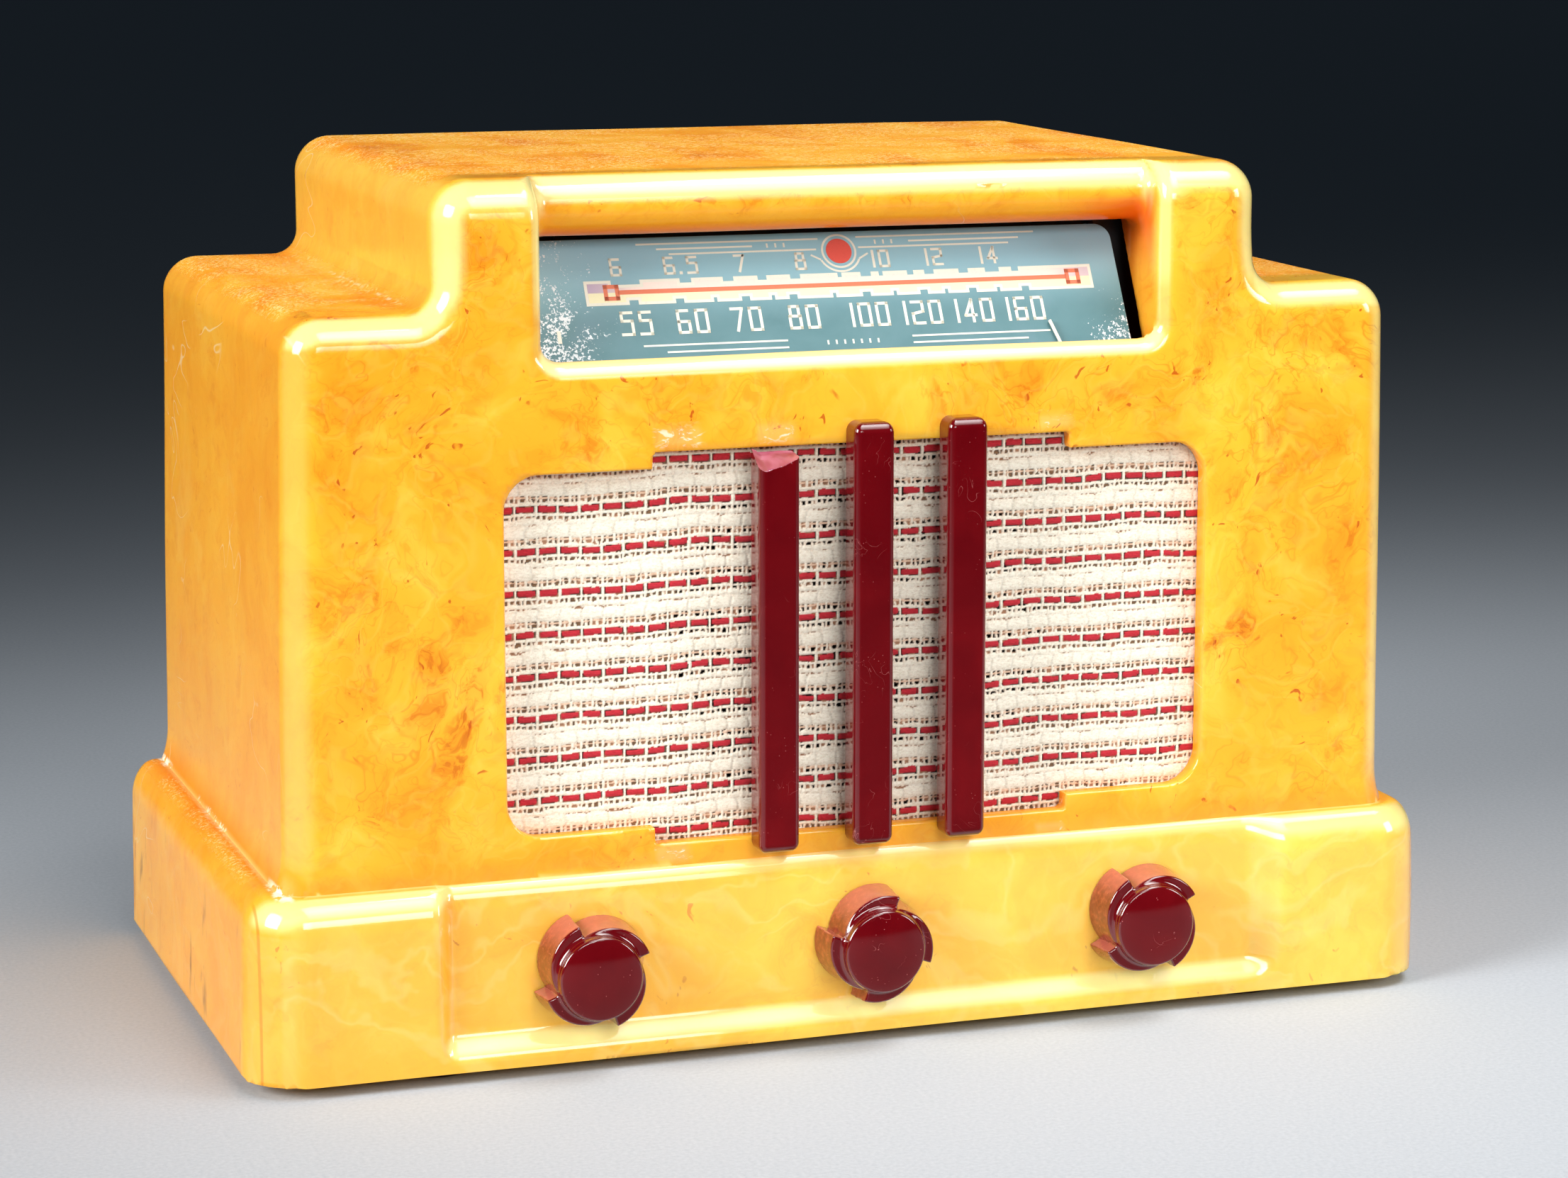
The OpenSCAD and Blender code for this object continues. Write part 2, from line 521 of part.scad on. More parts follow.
// valve: base with its spigot, pins, and the glass
module valve(i, d, h) color("#C9CDD0") at_case() translate([valve_pos[i][0], valve_pos[i][1], chassis_z + 2]) {
  cylinder(h = 22, d = 31);
  translate([0, 0, -6.6]) cylinder(h = 7, d = 7.6);
  for (a = [0:45:315]) rotate(a) translate([8.7, 0, -8.6]) cylinder(h = 9, d = 2.4);
  translate([0, 0, 22 - e]) cylinder(h = h - 22 - d/2, d = d);
  translate([0, 0, h - d/2]) sphere(d = d);
}
module valve_1() valve(0, 29, 84);
module valve_2() valve(1, 29, 84);
module valve_3() valve(2, 29, 84);
module valve_4() valve(3, 29, 88);
module valve_5() valve(4, 29, 84);

module if_can(x, y) color("#C2C4C1") at_case() translate([x, y, chassis_z]) {
  translate([-15, -15, 0]) linear_extrude(68) rrect(30, 30, 3);
  translate([0, 0, -2]) cylinder(h = 3, d = 11.6);
  for (s = [-1, 1]) translate([s*6, 0, 68 - e]) cylinder(h = 1.2, d = 5);
}
module if_can_1() if_can(can_pos[0][0], can_pos[0][1]);
module if_can_2() if_can(can_pos[1][0], can_pos[1][1]);
module filter_can() color("#BFC2C2") at_case() translate([can_pos[2][0], can_pos[2][1], chassis_z - 2]) { cylinder(h = 3, d = 11.6); translate([0, 0, 2]) cylinder(h = 62, d = 24); }

// outline of the opening at the back
module back_outline(g) {
  translate([-py + wall + 0.4 + g, wall + g]) square([plinth_w - 2*wall - 0.8 - 2*g, plinth_h - 2*wall - 3 - 2*g]);
  translate([-bx + wall + g, wall + 1 + g]) rrect(2*(bx - wall - g), body_h - 2*wall - 1 - 2*g, 5 - g);
  translate([-tx + wall + g, 60]) rrect(2*(tx - wall - g), tower_h - wall - 60 - g, 5 - g);
}
module slot_row(x0, n, pitch, z, len) for (i = [0:n - 1]) translate([x0 + i*pitch, z]) { translate([-1.6, 1.6]) square([3.2, len - 3.2]); for (q = [1.6, len - 1.6]) translate([0, q]) circle(1.6, $fn = 24); }
module back_cover() color("#5A3A20") at_case()
  along_y(cover_y, cover_y + cover_t) difference() {
    back_outline(0.4);
    for (p = cover_pos) translate(p) circle(d = 3.2);
    translate([-96, 28]) circle(5);
    for (z = [58, 92, 126]) slot_row(-98, 15, 14, z, 22);
    slot_row(-70, 11, 14, 172, 14);
  }
module back_screws() color("#A5A49C") at_case()
  for (p = cover_pos) { ycyl(p[0], p[1], 2.8, cover_y - 9, cover_y + cover_t + e); ycyl(p[0], p[1], 6.6, cover_y + cover_t, cover_y + cover_t + screw_back); }
// flat frame winding cemented inside the back cover
module loop_antenna() color("#8A5B2C") at_case()
  along_y(cover_y - 2.4, cover_y) difference() {
    translate([-112, 46]) rrect(224, 112, 16);
    translate([-102, 56]) rrect(204, 92, 10);
  }
module cord_grommet() color("#241A16") at_case() difference() {
  union() { ycyl(-96, 28, 10, cover_y - 1.8, cover_y + cover_t + 1.8); ycyl(-96, 28, 14, cover_y - 1.8, cover_y); ycyl(-96, 28, 14, cover_y + cover_t, cover_y + cover_t + 1.8); }
  ycyl(-96, 28, 6.6, cover_y - 3, back_y + 1);
}

cabinet();
bar_left();
bar_middle();
bar_right();
grille_cloth();
baffle_board();
baffle_screws();
speaker_frame();
speaker_cone();
speaker_magnet();
speaker_screws();
output_transformer();
chassis();
chassis_bolts();
rubber_feet();
foot_screws();
volume_knob();
volume_clip();
volume_shaft();
volume_control();
band_knob();
band_clip();
band_shaft();
band_switch();
tuning_knob();
tuning_clip();
tuning_shaft();
tuning_bush();
control_nuts();
dial_plate();
dial_bracket();
dial_screws();
pointer_rail();
dial_pointer();
dial_cord();
pulley_left();
pulley_right();
pulley_return();
drive_drum();
gang_rotor();
gang_frame();
gang_stators();
lamp_holders();
dial_lamps();
valve_sockets();
valve_1();
valve_2();
valve_3();
valve_4();
valve_5();
if_can_1();
if_can_2();
filter_can();
back_cover();
back_screws();
loop_antenna();
cord_grommet();
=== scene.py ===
import json
import math

import bmesh
import bpy
import numpy as np
from mathutils import Matrix, Vector

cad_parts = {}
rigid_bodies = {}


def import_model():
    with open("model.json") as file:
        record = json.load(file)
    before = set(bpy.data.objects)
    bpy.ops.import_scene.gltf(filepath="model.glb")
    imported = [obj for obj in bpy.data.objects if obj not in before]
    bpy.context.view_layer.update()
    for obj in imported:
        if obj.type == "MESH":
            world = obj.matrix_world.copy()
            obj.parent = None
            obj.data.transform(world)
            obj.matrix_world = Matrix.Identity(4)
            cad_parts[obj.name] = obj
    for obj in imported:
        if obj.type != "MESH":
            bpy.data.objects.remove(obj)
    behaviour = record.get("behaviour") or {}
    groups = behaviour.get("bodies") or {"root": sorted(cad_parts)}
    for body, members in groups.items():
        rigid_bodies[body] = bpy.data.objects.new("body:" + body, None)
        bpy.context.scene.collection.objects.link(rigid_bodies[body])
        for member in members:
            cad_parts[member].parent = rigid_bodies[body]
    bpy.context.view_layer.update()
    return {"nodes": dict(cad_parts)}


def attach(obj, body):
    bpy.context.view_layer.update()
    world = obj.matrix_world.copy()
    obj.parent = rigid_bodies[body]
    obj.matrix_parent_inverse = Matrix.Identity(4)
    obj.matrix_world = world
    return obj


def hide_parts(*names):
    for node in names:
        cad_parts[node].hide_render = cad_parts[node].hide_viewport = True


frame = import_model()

# Lengths below are millimetres in the case frame: x from the middle, y from
# the body's front face towards the back, z from the plinth's underside.
OY, FH = -68.05, 3.0


def row(p):
    """case frame in mm to the row frame in metres"""
    p = np.asarray(p, float)
    return (p + np.array([0.0, OY, FH])) * 0.001


# ---------------------------------------------------------------- camera
cam_data = bpy.data.cameras.new("camera")
cam = bpy.data.objects.new("camera", cam_data)
bpy.context.scene.collection.objects.link(cam)
bpy.context.scene.camera = cam
yaw, pitch, roll = (math.radians(a) for a in (-20.11, -10.64, 0.211))
fwd = Vector((-math.sin(yaw) * math.cos(pitch), math.cos(yaw) * math.cos(pitch), math.sin(pitch)))
right = Vector((math.cos(yaw), math.sin(yaw), 0.0))
up = right.cross(fwd)
r2 = math.cos(roll) * right + math.sin(roll) * up
u2 = -math.sin(roll) * right + math.cos(roll) * up
m = Matrix((r2, u2, -fwd)).transposed().to_4x4()
m.translation = Vector((-0.318125, -0.931832, 0.282822))
cam.matrix_world = m
cam_data.sensor_fit = "HORIZONTAL"
cam_data.sensor_width = 36.0
cam_data.lens = 5587.555 / 2212 * 36.0
cam_data.shift_x = -104.556 / 2212
cam_data.clip_start, cam_data.clip_end = 0.05, 60.0


# ---------------------------------------------------------------- materials
class Mat:
    """a Principled material and short names for the nodes that feed it"""

    def __init__(self, name, base=(0.8, 0.8, 0.8), rough=0.5, metal=0.0, **sockets):
        self.m = bpy.data.materials.new(name)
        self.m.use_nodes = True
        self.nt = self.m.node_tree
        self.nt.nodes.clear()
        out = self.nt.nodes.new("ShaderNodeOutputMaterial")
        self.b = self.nt.nodes.new("ShaderNodeBsdfPrincipled")
        self.nt.links.new(self.b.outputs[0], out.inputs[0])
        self.b.inputs["Base Color"].default_value = (*base, 1)
        self.b.inputs["Roughness"].default_value = rough
        self.b.inputs["Metallic"].default_value = metal
        for k, v in sockets.items():
            self.b.inputs[k.replace("_", " ")].default_value = v
        self.m.diffuse_color = (*base, 1)
        tc = self.nt.nodes.new("ShaderNodeTexCoord")
        self.co = tc.outputs["Object"]
        self.normal = tc.outputs["Normal"]

    def put(self, sock, v):
        if isinstance(v, bpy.types.NodeSocket):
            self.nt.links.new(v, sock)
        elif isinstance(v, (tuple, list)):
            sock.default_value = (*v, 1) if len(sock.default_value) == 4 and len(v) == 3 else v
        elif v is not None:
            sock.default_value = v

    def set(self, name, v):
        self.put(self.b.inputs[name], v)

    def math(self, op, a, b=None, c=None, clamp=False):
        n = self.nt.nodes.new("ShaderNodeMath")
        n.operation, n.use_clamp = op, clamp
        for s, v in zip(n.inputs, (a, b, c)):
            self.put(s, v)
        return n.outputs[0]

    def vmath(self, op, a, b=None, scale=None):
        n = self.nt.nodes.new("ShaderNodeVectorMath")
        n.operation = op
        self.put(n.inputs[0], a)
        if b is not None:
            self.put(n.inputs[1], b)
        if scale is not None:
            self.put(n.inputs["Scale"], scale)
        return n.outputs[0]

    def scaled(self, v, k):
        n = self.nt.nodes.new("ShaderNodeMapping")
        n.inputs["Scale"].default_value = k
        self.put(n.inputs["Vector"], v)
        return n.outputs[0]

    def noise(self, scale, detail=3.0, rough=0.5, dist=0.0, vec=None, color=False):
        n = self.nt.nodes.new("ShaderNodeTexNoise")
        self.put(n.inputs["Vector"], self.co if vec is None else vec)
        n.inputs["Scale"].default_value = scale
        n.inputs["Detail"].default_value = detail
        n.inputs["Roughness"].default_value = rough
        n.inputs["Distortion"].default_value = dist
        return n.outputs["Color" if color else "Fac"]

    def voronoi(self, scale, vec=None, feature="F1", rand=1.0, out="Distance"):
        n = self.nt.nodes.new("ShaderNodeTexVoronoi")
        n.feature = feature
        self.put(n.inputs["Vector"], self.co if vec is None else vec)
        n.inputs["Scale"].default_value = scale
        n.inputs["Randomness"].default_value = rand
        return n.outputs[out]

    def gloss(self, flat, level, coat_edge, coat_ior=1.6):
        """polish shows on the rounded edges and less on the hazy flats"""
        self.b.inputs["Specular IOR Level"].default_value = level
        self.b.inputs["Coat IOR"].default_value = coat_ior
        self.set("Coat Weight", self.math("MULTIPLY_ADD", flat, -coat_edge, coat_edge))

    def step(self, v, a, b):
        """0 below a, 1 above b, smooth between"""
        n = self.nt.nodes.new("ShaderNodeMapRange")
        n.interpolation_type = "SMOOTHSTEP"
        self.put(n.inputs["Value"], v)
        n.inputs["From Min"].default_value, n.inputs["From Max"].default_value = (a, b) if a < b else (b, a)
        n.inputs["To Min"].default_value, n.inputs["To Max"].default_value = (0, 1) if a < b else (1, 0)
        return n.outputs["Result"]

    def ramp(self, fac, stops):
        n = self.nt.nodes.new("ShaderNodeValToRGB")
        self.put(n.inputs["Fac"], fac)
        e = n.color_ramp.elements
        while len(e) < len(stops):
            e.new(0.5)
        for el, (p, c) in zip(e, stops):
            el.position = p
            el.color = (*c, 1) if len(c) == 3 else c
        return n.outputs["Color"]

    def mix(self, fac, a, b, blend="MIX"):
        n = self.nt.nodes.new("ShaderNodeMix")
        n.data_type, n.blend_type = "RGBA", blend
        self.put(n.inputs["Factor"], fac)
        self.put(n.inputs[6], a)
        self.put(n.inputs[7], b)
        return n.outputs[2]

    def mul(self, a, b):
        return self.math("MULTIPLY", a, b)

    def xyz(self, v):
        n = self.nt.nodes.new("ShaderNodeSeparateXYZ")
        self.put(n.inputs[0], v)
        return n.outputs

    def bump(self, height, strength=0.3, dist=0.0005, normal=None):
        n = self.nt.nodes.new("ShaderNodeBump")
        n.inputs["Strength"].default_value = strength
        n.inputs["Distance"].default_value = dist
        self.put(n.inputs["Height"], height)
        if normal is not None:
            self.put(n.inputs["Normal"], normal)
        self.nt.links.new(n.outputs[0], self.b.inputs["Normal"])
        return n.outputs[0]


def rgb(r, g, b):
    """sRGB 0-255 to linear"""
    return tuple(c / 12.92 if c <= 0.04045 else ((c + 0.055) / 1.055) ** 2.4 for c in (r / 255, g / 255, b / 255))


def catalin():
    """cast resin: honey yellow with cloudy cells, swirls and red flecks, polished, dusty on top; painted glow,
    highlights and shade on its edges, folds, brow and plinth
    """
    a = Mat("catalin_amber", rgb(252, 190, 52), 0.2)
    a.set("IOR", 1.56)
    a.set("Coat Roughness", 0.05)
    a.set("Subsurface Weight", 0.16)
    a.set("Subsurface Radius", (0.008, 0.0040, 0.0014))
    a.set("Subsurface Scale", 1.0)
    fields = a.nt.nodes.new("ShaderNodeVertexColor")
    fields.layer_name = "fields"
    edge, fold_shade, glue = a.xyz(fields.outputs["Color"])
    cloud = fields.outputs["Alpha"]
    x, y, z = a.xyz(a.co)
    nx, ny, nz = a.xyz(a.normal)
    rear = a.step(y, -0.062, -0.054)
    side = a.math("MAXIMUM", a.math("MAXIMUM", a.step(nx, 0.55, 0.9), a.step(nx, -0.30, -0.72)), a.mul(rear, a.step(nz, 0.95, 0.80)))
    top = a.step(nz, 0.60, 0.93)
    behind = a.step(y, -0.052, -0.043)
    plinth = a.step(z, 0.052, 0.040)
    # the flow of the pour: each layer of noise is read through the one before
    w1 = a.vmath("SUBTRACT", a.noise(17, 2, 0.5, 0, color=True), (0.5, 0.5, 0.5))
    p1 = a.vmath("ADD", a.co, a.vmath("SCALE", w1, scale=0.030))
    w2 = a.vmath("SUBTRACT", a.noise(95, 2, 0.5, 0, vec=p1, color=True), (0.5, 0.5, 0.5))
    p2 = a.vmath("ADD", p1, a.vmath("SCALE", w2, scale=0.014))
    w3 = a.vmath("SUBTRACT", a.noise(260, 1, 0.5, 0, vec=p2, color=True), (0.5, 0.5, 0.5))
    p3 = a.vmath("ADD", p2, a.vmath("SCALE", w3, scale=0.0022))
    big = a.noise(15, 3, 0.5, 0.2, vec=p1)
    col = a.ramp(big, [(0.30, rgb(254, 198, 58)), (0.48, rgb(253, 187, 50)), (0.62, rgb(250, 175, 42)), (0.78, rgb(245, 160, 34))])
    left = a.step(x, 0.02, -0.13)
    col = a.mix(a.mul(left, 0.22), col, rgb(248, 166, 34))
    soft = a.noise(60, 3, 0.55, 0.5, vec=p2)
    col = a.mix(a.mul(a.step(soft, 0.48, 0.68), 0.30), col, rgb(244, 158, 30))
    col = a.mix(a.mul(a.step(soft, 0.50, 0.30), 0.30), col, rgb(255, 218, 90))
    # cells of the pour: rounded, faintly outlined, some of them darker inside
    q2 = a.vmath("ADD", p3, (0.004, 0.0, 0.0065))
    amt = a.math("ADD", 0.26, a.mul(cloud, 0.74))
    mott = a.noise(400, 3, 0.6, 0.4, vec=p3)
    fog = a.mul(a.step(a.noise(62, 2, 0.5, 0.2, vec=p2), 0.50, 0.64), amt)
    col = a.mix(a.mul(fog, a.math("ADD", 0.38, a.mul(a.step(mott, 0.42, 0.60), 0.34))), col, rgb(234, 136, 24))
    rim = a.step(a.voronoi(100, vec=q2, feature="DISTANCE_TO_EDGE", rand=0.85), 0.11, 0.0)
    gate = a.step(a.noise(48, 2, 0.5, 0.3, vec=p1), 0.46, 0.60)
    col = a.mix(a.mul(a.mul(rim, gate), a.mul(amt, 0.40)), col, rgb(228, 124, 24))
    cell = a.xyz(a.voronoi(100, vec=q2, rand=0.85, out="Color"))
    heart = a.step(a.voronoi(100, vec=q2, rand=0.85), 0.58, 0.20)
    blob = a.mul(a.mul(a.step(cell[0], 0.56, 0.62), heart), amt)
    col = a.mix(a.mul(blob, a.math("ADD", 0.42, a.mul(a.step(mott, 0.40, 0.60), 0.32))), col, rgb(224, 122, 20))
    core = a.mul(a.mul(blob, a.step(cell[1], 0.46, 0.54)), a.step(mott, 0.49, 0.60))
    col = a.mix(a.mul(core, 0.60), col, rgb(190, 80, 16))
    # agate threads, curling round the cells
    l1 = a.math("ABSOLUTE", a.math("SUBTRACT", a.noise(100, 2, 0.5, 0.7, vec=p3), 0.5))
    l2 = a.math("ABSOLUTE", a.math("SUBTRACT", a.noise(200, 1, 0.5, 0.7, vec=p3), 0.47))
    lines = a.math("MAXIMUM", a.step(l1, 0.020, 0.0), a.mul(a.step(l2, 0.024, 0.0), 0.6))
    lines = a.mul(lines, a.math("ADD", 0.08, a.mul(cloud, 0.44)))
    col = a.mix(lines, col, rgb(212, 108, 20))
    curl = a.math("ABSOLUTE", a.math("SUBTRACT", a.noise(330, 2, 0.55, 0.9, vec=p3), 0.5))
    col = a.mix(a.mul(a.mul(a.step(curl, 0.030, 0.0), a.mul(fog, a.step(mott, 0.44, 0.56))), 0.42), col, rgb(198, 92, 18))
    pale = a.math("ABSOLUTE", a.math("SUBTRACT", a.noise(90, 1, 0.5, 0.6, vec=p2), 0.44))
    col = a.mix(a.mul(a.step(pale, 0.060, 0.0), 0.08), col, rgb(255, 228, 124))
    # small red flecks, mostly in the cloudy places
    where = a.step(a.math("ADD", a.noise(46, 2), a.mul(cloud, 0.18)), 0.52, 0.60)
    fleck = a.mul(a.step(a.noise(360, 2, 0.6, 0.4, vec=a.scaled(p2, (1.0, 1.0, 0.7))), 0.66, 0.72), where)
    col = a.mix(a.mul(fleck, 0.75), col, rgb(186, 56, 18))
    # the plinth is painted paler, more so on the right, as painted light thrown up from the floor, with long faint
    # swirls
    col = a.mix(a.mul(a.mul(plinth, a.step(side, 0.6, 0.3)), 0.34), col, a.mix(a.step(x, -0.09, 0.07), rgb(250, 198, 106), rgb(255, 234, 128)))
    col = a.mix(a.mul(a.step(z, 0.017, 0.005), a.mul(a.step(x, 0.04, -0.06), 0.26)), col, rgb(250, 176, 50))
    sw = a.math("ABSOLUTE", a.math("SUBTRACT", a.noise(30, 2, 0.5, 0.9, vec=a.scaled(p2, (0.7, 1.0, 1.2))), 0.5))
    col = a.mix(a.mul(a.mul(plinth, a.step(sw, 0.050, 0.0)), 0.16), col, rgb(255, 236, 160))
    # sides and top run to orange
    streak = a.noise(34, 4, 0.6, 0.4, vec=a.scaled(p2, (1.0, 0.85, 0.70)))
    col = a.mix(a.mul(side, a.math("ADD", 0.24, a.mul(a.step(z, 0.184, 0.174), 0.42))), col, rgb(252, 172, 54))
    col = a.mix(a.mul(a.mul(side, a.step(z, 0.176, 0.186)), 0.5), col, rgb(255, 208, 92))
    col = a.mix(a.mul(a.mul(side, a.step(streak, 0.46, 0.66)), 0.24), col, rgb(238, 138, 22))
    col = a.mix(a.mul(a.mul(side, a.step(streak, 0.42, 0.30)), 0.22), col, rgb(255, 204, 100))
    tn = a.noise(36, 4, 0.60, 0.3, vec=a.scaled(p1, (1.5, 0.55, 1.0)))
    topcol = a.ramp(tn, [(0.30, rgb(255, 186, 70)), (0.48, rgb(252, 166, 46)), (0.62, rgb(238, 138, 28)), (0.78, rgb(206, 104, 16))])
    col = a.mix(a.mul(a.mul(top, behind), 0.88), col, topcol)
    # painted light: thin, rounded edges are painted cream as painted glow and highlight; folds and the brow's underside
    # get painted glow and shade
    upper = a.math("MAXIMUM", a.mul(a.step(nz, 0.12, 0.42), 0.74), a.mul(a.step(z, 0.172, 0.184), 0.66))
    upright = a.mul(a.step(z, 0.050, 0.060), a.math("ADD", 0.12, a.mul(a.step(x, -0.02, 0.02), 0.24)))
    col = a.mix(a.mul(edge, a.math("MAXIMUM", upper, upright)), col, rgb(255, 244, 164))
    # painted highlight: the brow's rolled edge is painted cream, partly a painted glow
    roll = a.mul(a.mul(a.step(y, -0.050, -0.057), a.step(z, 0.190, 0.200)), a.mul(a.step(nz, 0.02, 0.34), a.step(nz, 0.99, 0.90)))
    roll = a.mul(roll, a.step(a.math("ABSOLUTE", x), 0.084, 0.076))
    col = a.mix(a.mul(roll, 0.62), col, rgb(255, 246, 172))
    # painted highlight: the rounded sill under the dial is painted cream
    sill_highlight = a.mul(a.mul(a.step(nz, 0.10, 0.45), a.step(ny, -0.05, -0.20)), a.mul(a.step(z, 0.153, 0.157), a.step(z, 0.171, 0.167)))
    sill_highlight = a.mul(sill_highlight, a.mul(a.step(y, -0.058, -0.062), a.step(a.math("ABSOLUTE", x), 0.083, 0.078)))
    col = a.mix(a.mul(sill_highlight, 0.60), col, rgb(255, 248, 178))
    # painted shade: concave folds are painted deeper orange
    col = a.mix(a.mul(fold_shade, 0.50), col, rgb(244, 132, 18))
    # painted glow and shade: the brow's down-facing underside is painted deeper orange and red, and the right cheek's
    # inner wall and the brow's right end darker
    brow_glow_zone = a.mul(a.step(y, -0.0655, -0.060), a.mul(a.step(z, 0.170, 0.198), a.step(z, 0.2045, 0.199)))
    brow = a.mul(brow_glow_zone, a.step(nz, 0.25, -0.60))
    col = a.mix(a.mul(brow, 0.70), col, rgb(255, 168, 14))
    col = a.mix(a.mul(a.mul(brow_glow_zone, a.step(nz, -0.50, -0.92)), 0.75), col, rgb(250, 112, 10))
    corner = a.mul(brow_glow_zone, a.step(x, 0.045, 0.074))
    inner = a.mul(brow_glow_zone, a.mul(a.step(nx, -0.35, -0.8), a.step(x, 0.060, 0.075)))
    col = a.mix(a.mul(a.math("MAXIMUM", a.mul(corner, brow), inner), 0.85), col, rgb(240, 86, 8))
    # dust lies on what faces up and glitters
    dust_n = a.noise(1100, 2, 0.7)
    patchy = a.noise(48, 3, 0.6, 0.4, vec=a.scaled(p1, (0.6, 1.3, 1.0)))
    dust = a.mul(a.mul(top, behind), a.mul(a.step(patchy, 0.34, 0.56), a.step(dust_n, 0.50, 0.62)))
    col = a.mix(a.mul(dust, 0.70), col, rgb(255, 214, 140))
    # pale chips along the creases on the left, dark streaks low on the side
    xa = a.math("ABSOLUTE", x)
    crease1 = a.mul(a.step(a.math("ABSOLUTE", a.math("SUBTRACT", z, 0.0471)), 0.0014, 0.0004), a.step(a.math("ABSOLUTE", a.math("SUBTRACT", xa, 0.1405)), 0.0026, 0.0010))
    thick = a.mul(a.mul(crease1, a.step(x, 0.0, -0.01)), a.mul(a.math("MAXIMUM", a.step(y, -0.050, -0.060), a.step(y, 0.066, 0.074)), a.step(a.noise(300, 3, 0.6), 0.40, 0.50)))
    crease2 = a.mul(a.step(a.math("ABSOLUTE", a.math("SUBTRACT", z, 0.1786)), 0.0008, 0.0002), a.step(a.math("ABSOLUTE", a.math("SUBTRACT", xa, 0.1048)), 0.0020, 0.0008))
    cn = a.mul(a.step(a.noise(420, 3, 0.7), 0.48, 0.60), a.step(a.noise(36, 2), 0.48, 0.58))
    chips = a.math("MAXIMUM", a.mul(a.math("MAXIMUM", a.mul(crease1, 0.7), a.mul(crease2, 0.8)), cn), thick)
    gn = a.noise(520, 3, 0.7, 1.0, vec=a.scaled(a.co, (0.5, 1, 1)))
    gl = a.mul(glue, a.math("ADD", 0.10, a.mul(a.step(gn, 0.56, 0.66), 0.65)))
    col = a.mix(a.math("MAXIMUM", chips, gl), col, rgb(252, 240, 214))
    low = a.mul(a.step(z, 0.044, 0.028), a.step(x, -0.1445, -0.1468))
    streaks = a.mul(low, a.step(a.noise(60, 4, 0.65, 0.3, vec=a.scaled(a.co, (1, 1.6, 0.45))), 0.60, 0.72))
    col = a.mix(a.mul(streaks, 0.65), col, rgb(128, 78, 18))
    # hair scratches on the sides
    sn = a.math("ABSOLUTE", a.math("SUBTRACT", a.noise(26, 2, 0.5, 1.4, vec=a.scaled(a.co, (1, 0.7, 1.3))), 0.5))
    scr = a.mul(a.mul(side, a.step(sn, 0.006, 0.0)), a.step(a.noise(22, 2), 0.54, 0.62))
    col = a.mix(a.mul(scr, 0.45), col, rgb(255, 236, 190))
    seam = a.mul(a.step(a.math("ABSOLUTE", a.math("SUBTRACT", x, -0.1468)), 0.0004, 0.0001), a.mul(a.step(z, 0.0465, 0.045), a.step(y, -0.060, -0.066)))
    col = a.mix(a.mul(seam, 0.6), col, rgb(206, 122, 24))
    a.set("Base Color", col)
    rough = a.math("ADD", 0.13, a.mul(a.noise(26, 3), 0.10))
    rough = a.math("ADD", rough, a.mul(a.mul(top, behind), 0.28))
    rough = a.math("ADD", rough, a.mul(a.math("MAXIMUM", chips, dust), 0.4))
    a.set("Roughness", rough)
    flat = a.math("MAXIMUM", a.step(ny, -0.93, -0.995), a.math("MAXIMUM", a.step(ny, -0.42, -0.20), a.step(nz, -0.10, -0.35)))
    a.gloss(flat, 0.18, 1.0, 1.62)
    h = a.math("ADD", a.noise(40, 2, 0.5), a.mul(a.noise(520, 2, 0.6), 0.02))
    h = a.math("ADD", h, a.mul(a.math("MAXIMUM", chips, gl), 0.25))
    h = a.math("ADD", h, a.mul(seam, -0.5))
    h = a.math("ADD", h, a.mul(scr, -0.10))
    h = a.math("ADD", h, a.mul(dust, 0.20))
    a.bump(h, 0.16, 0.0006)
    return a.m


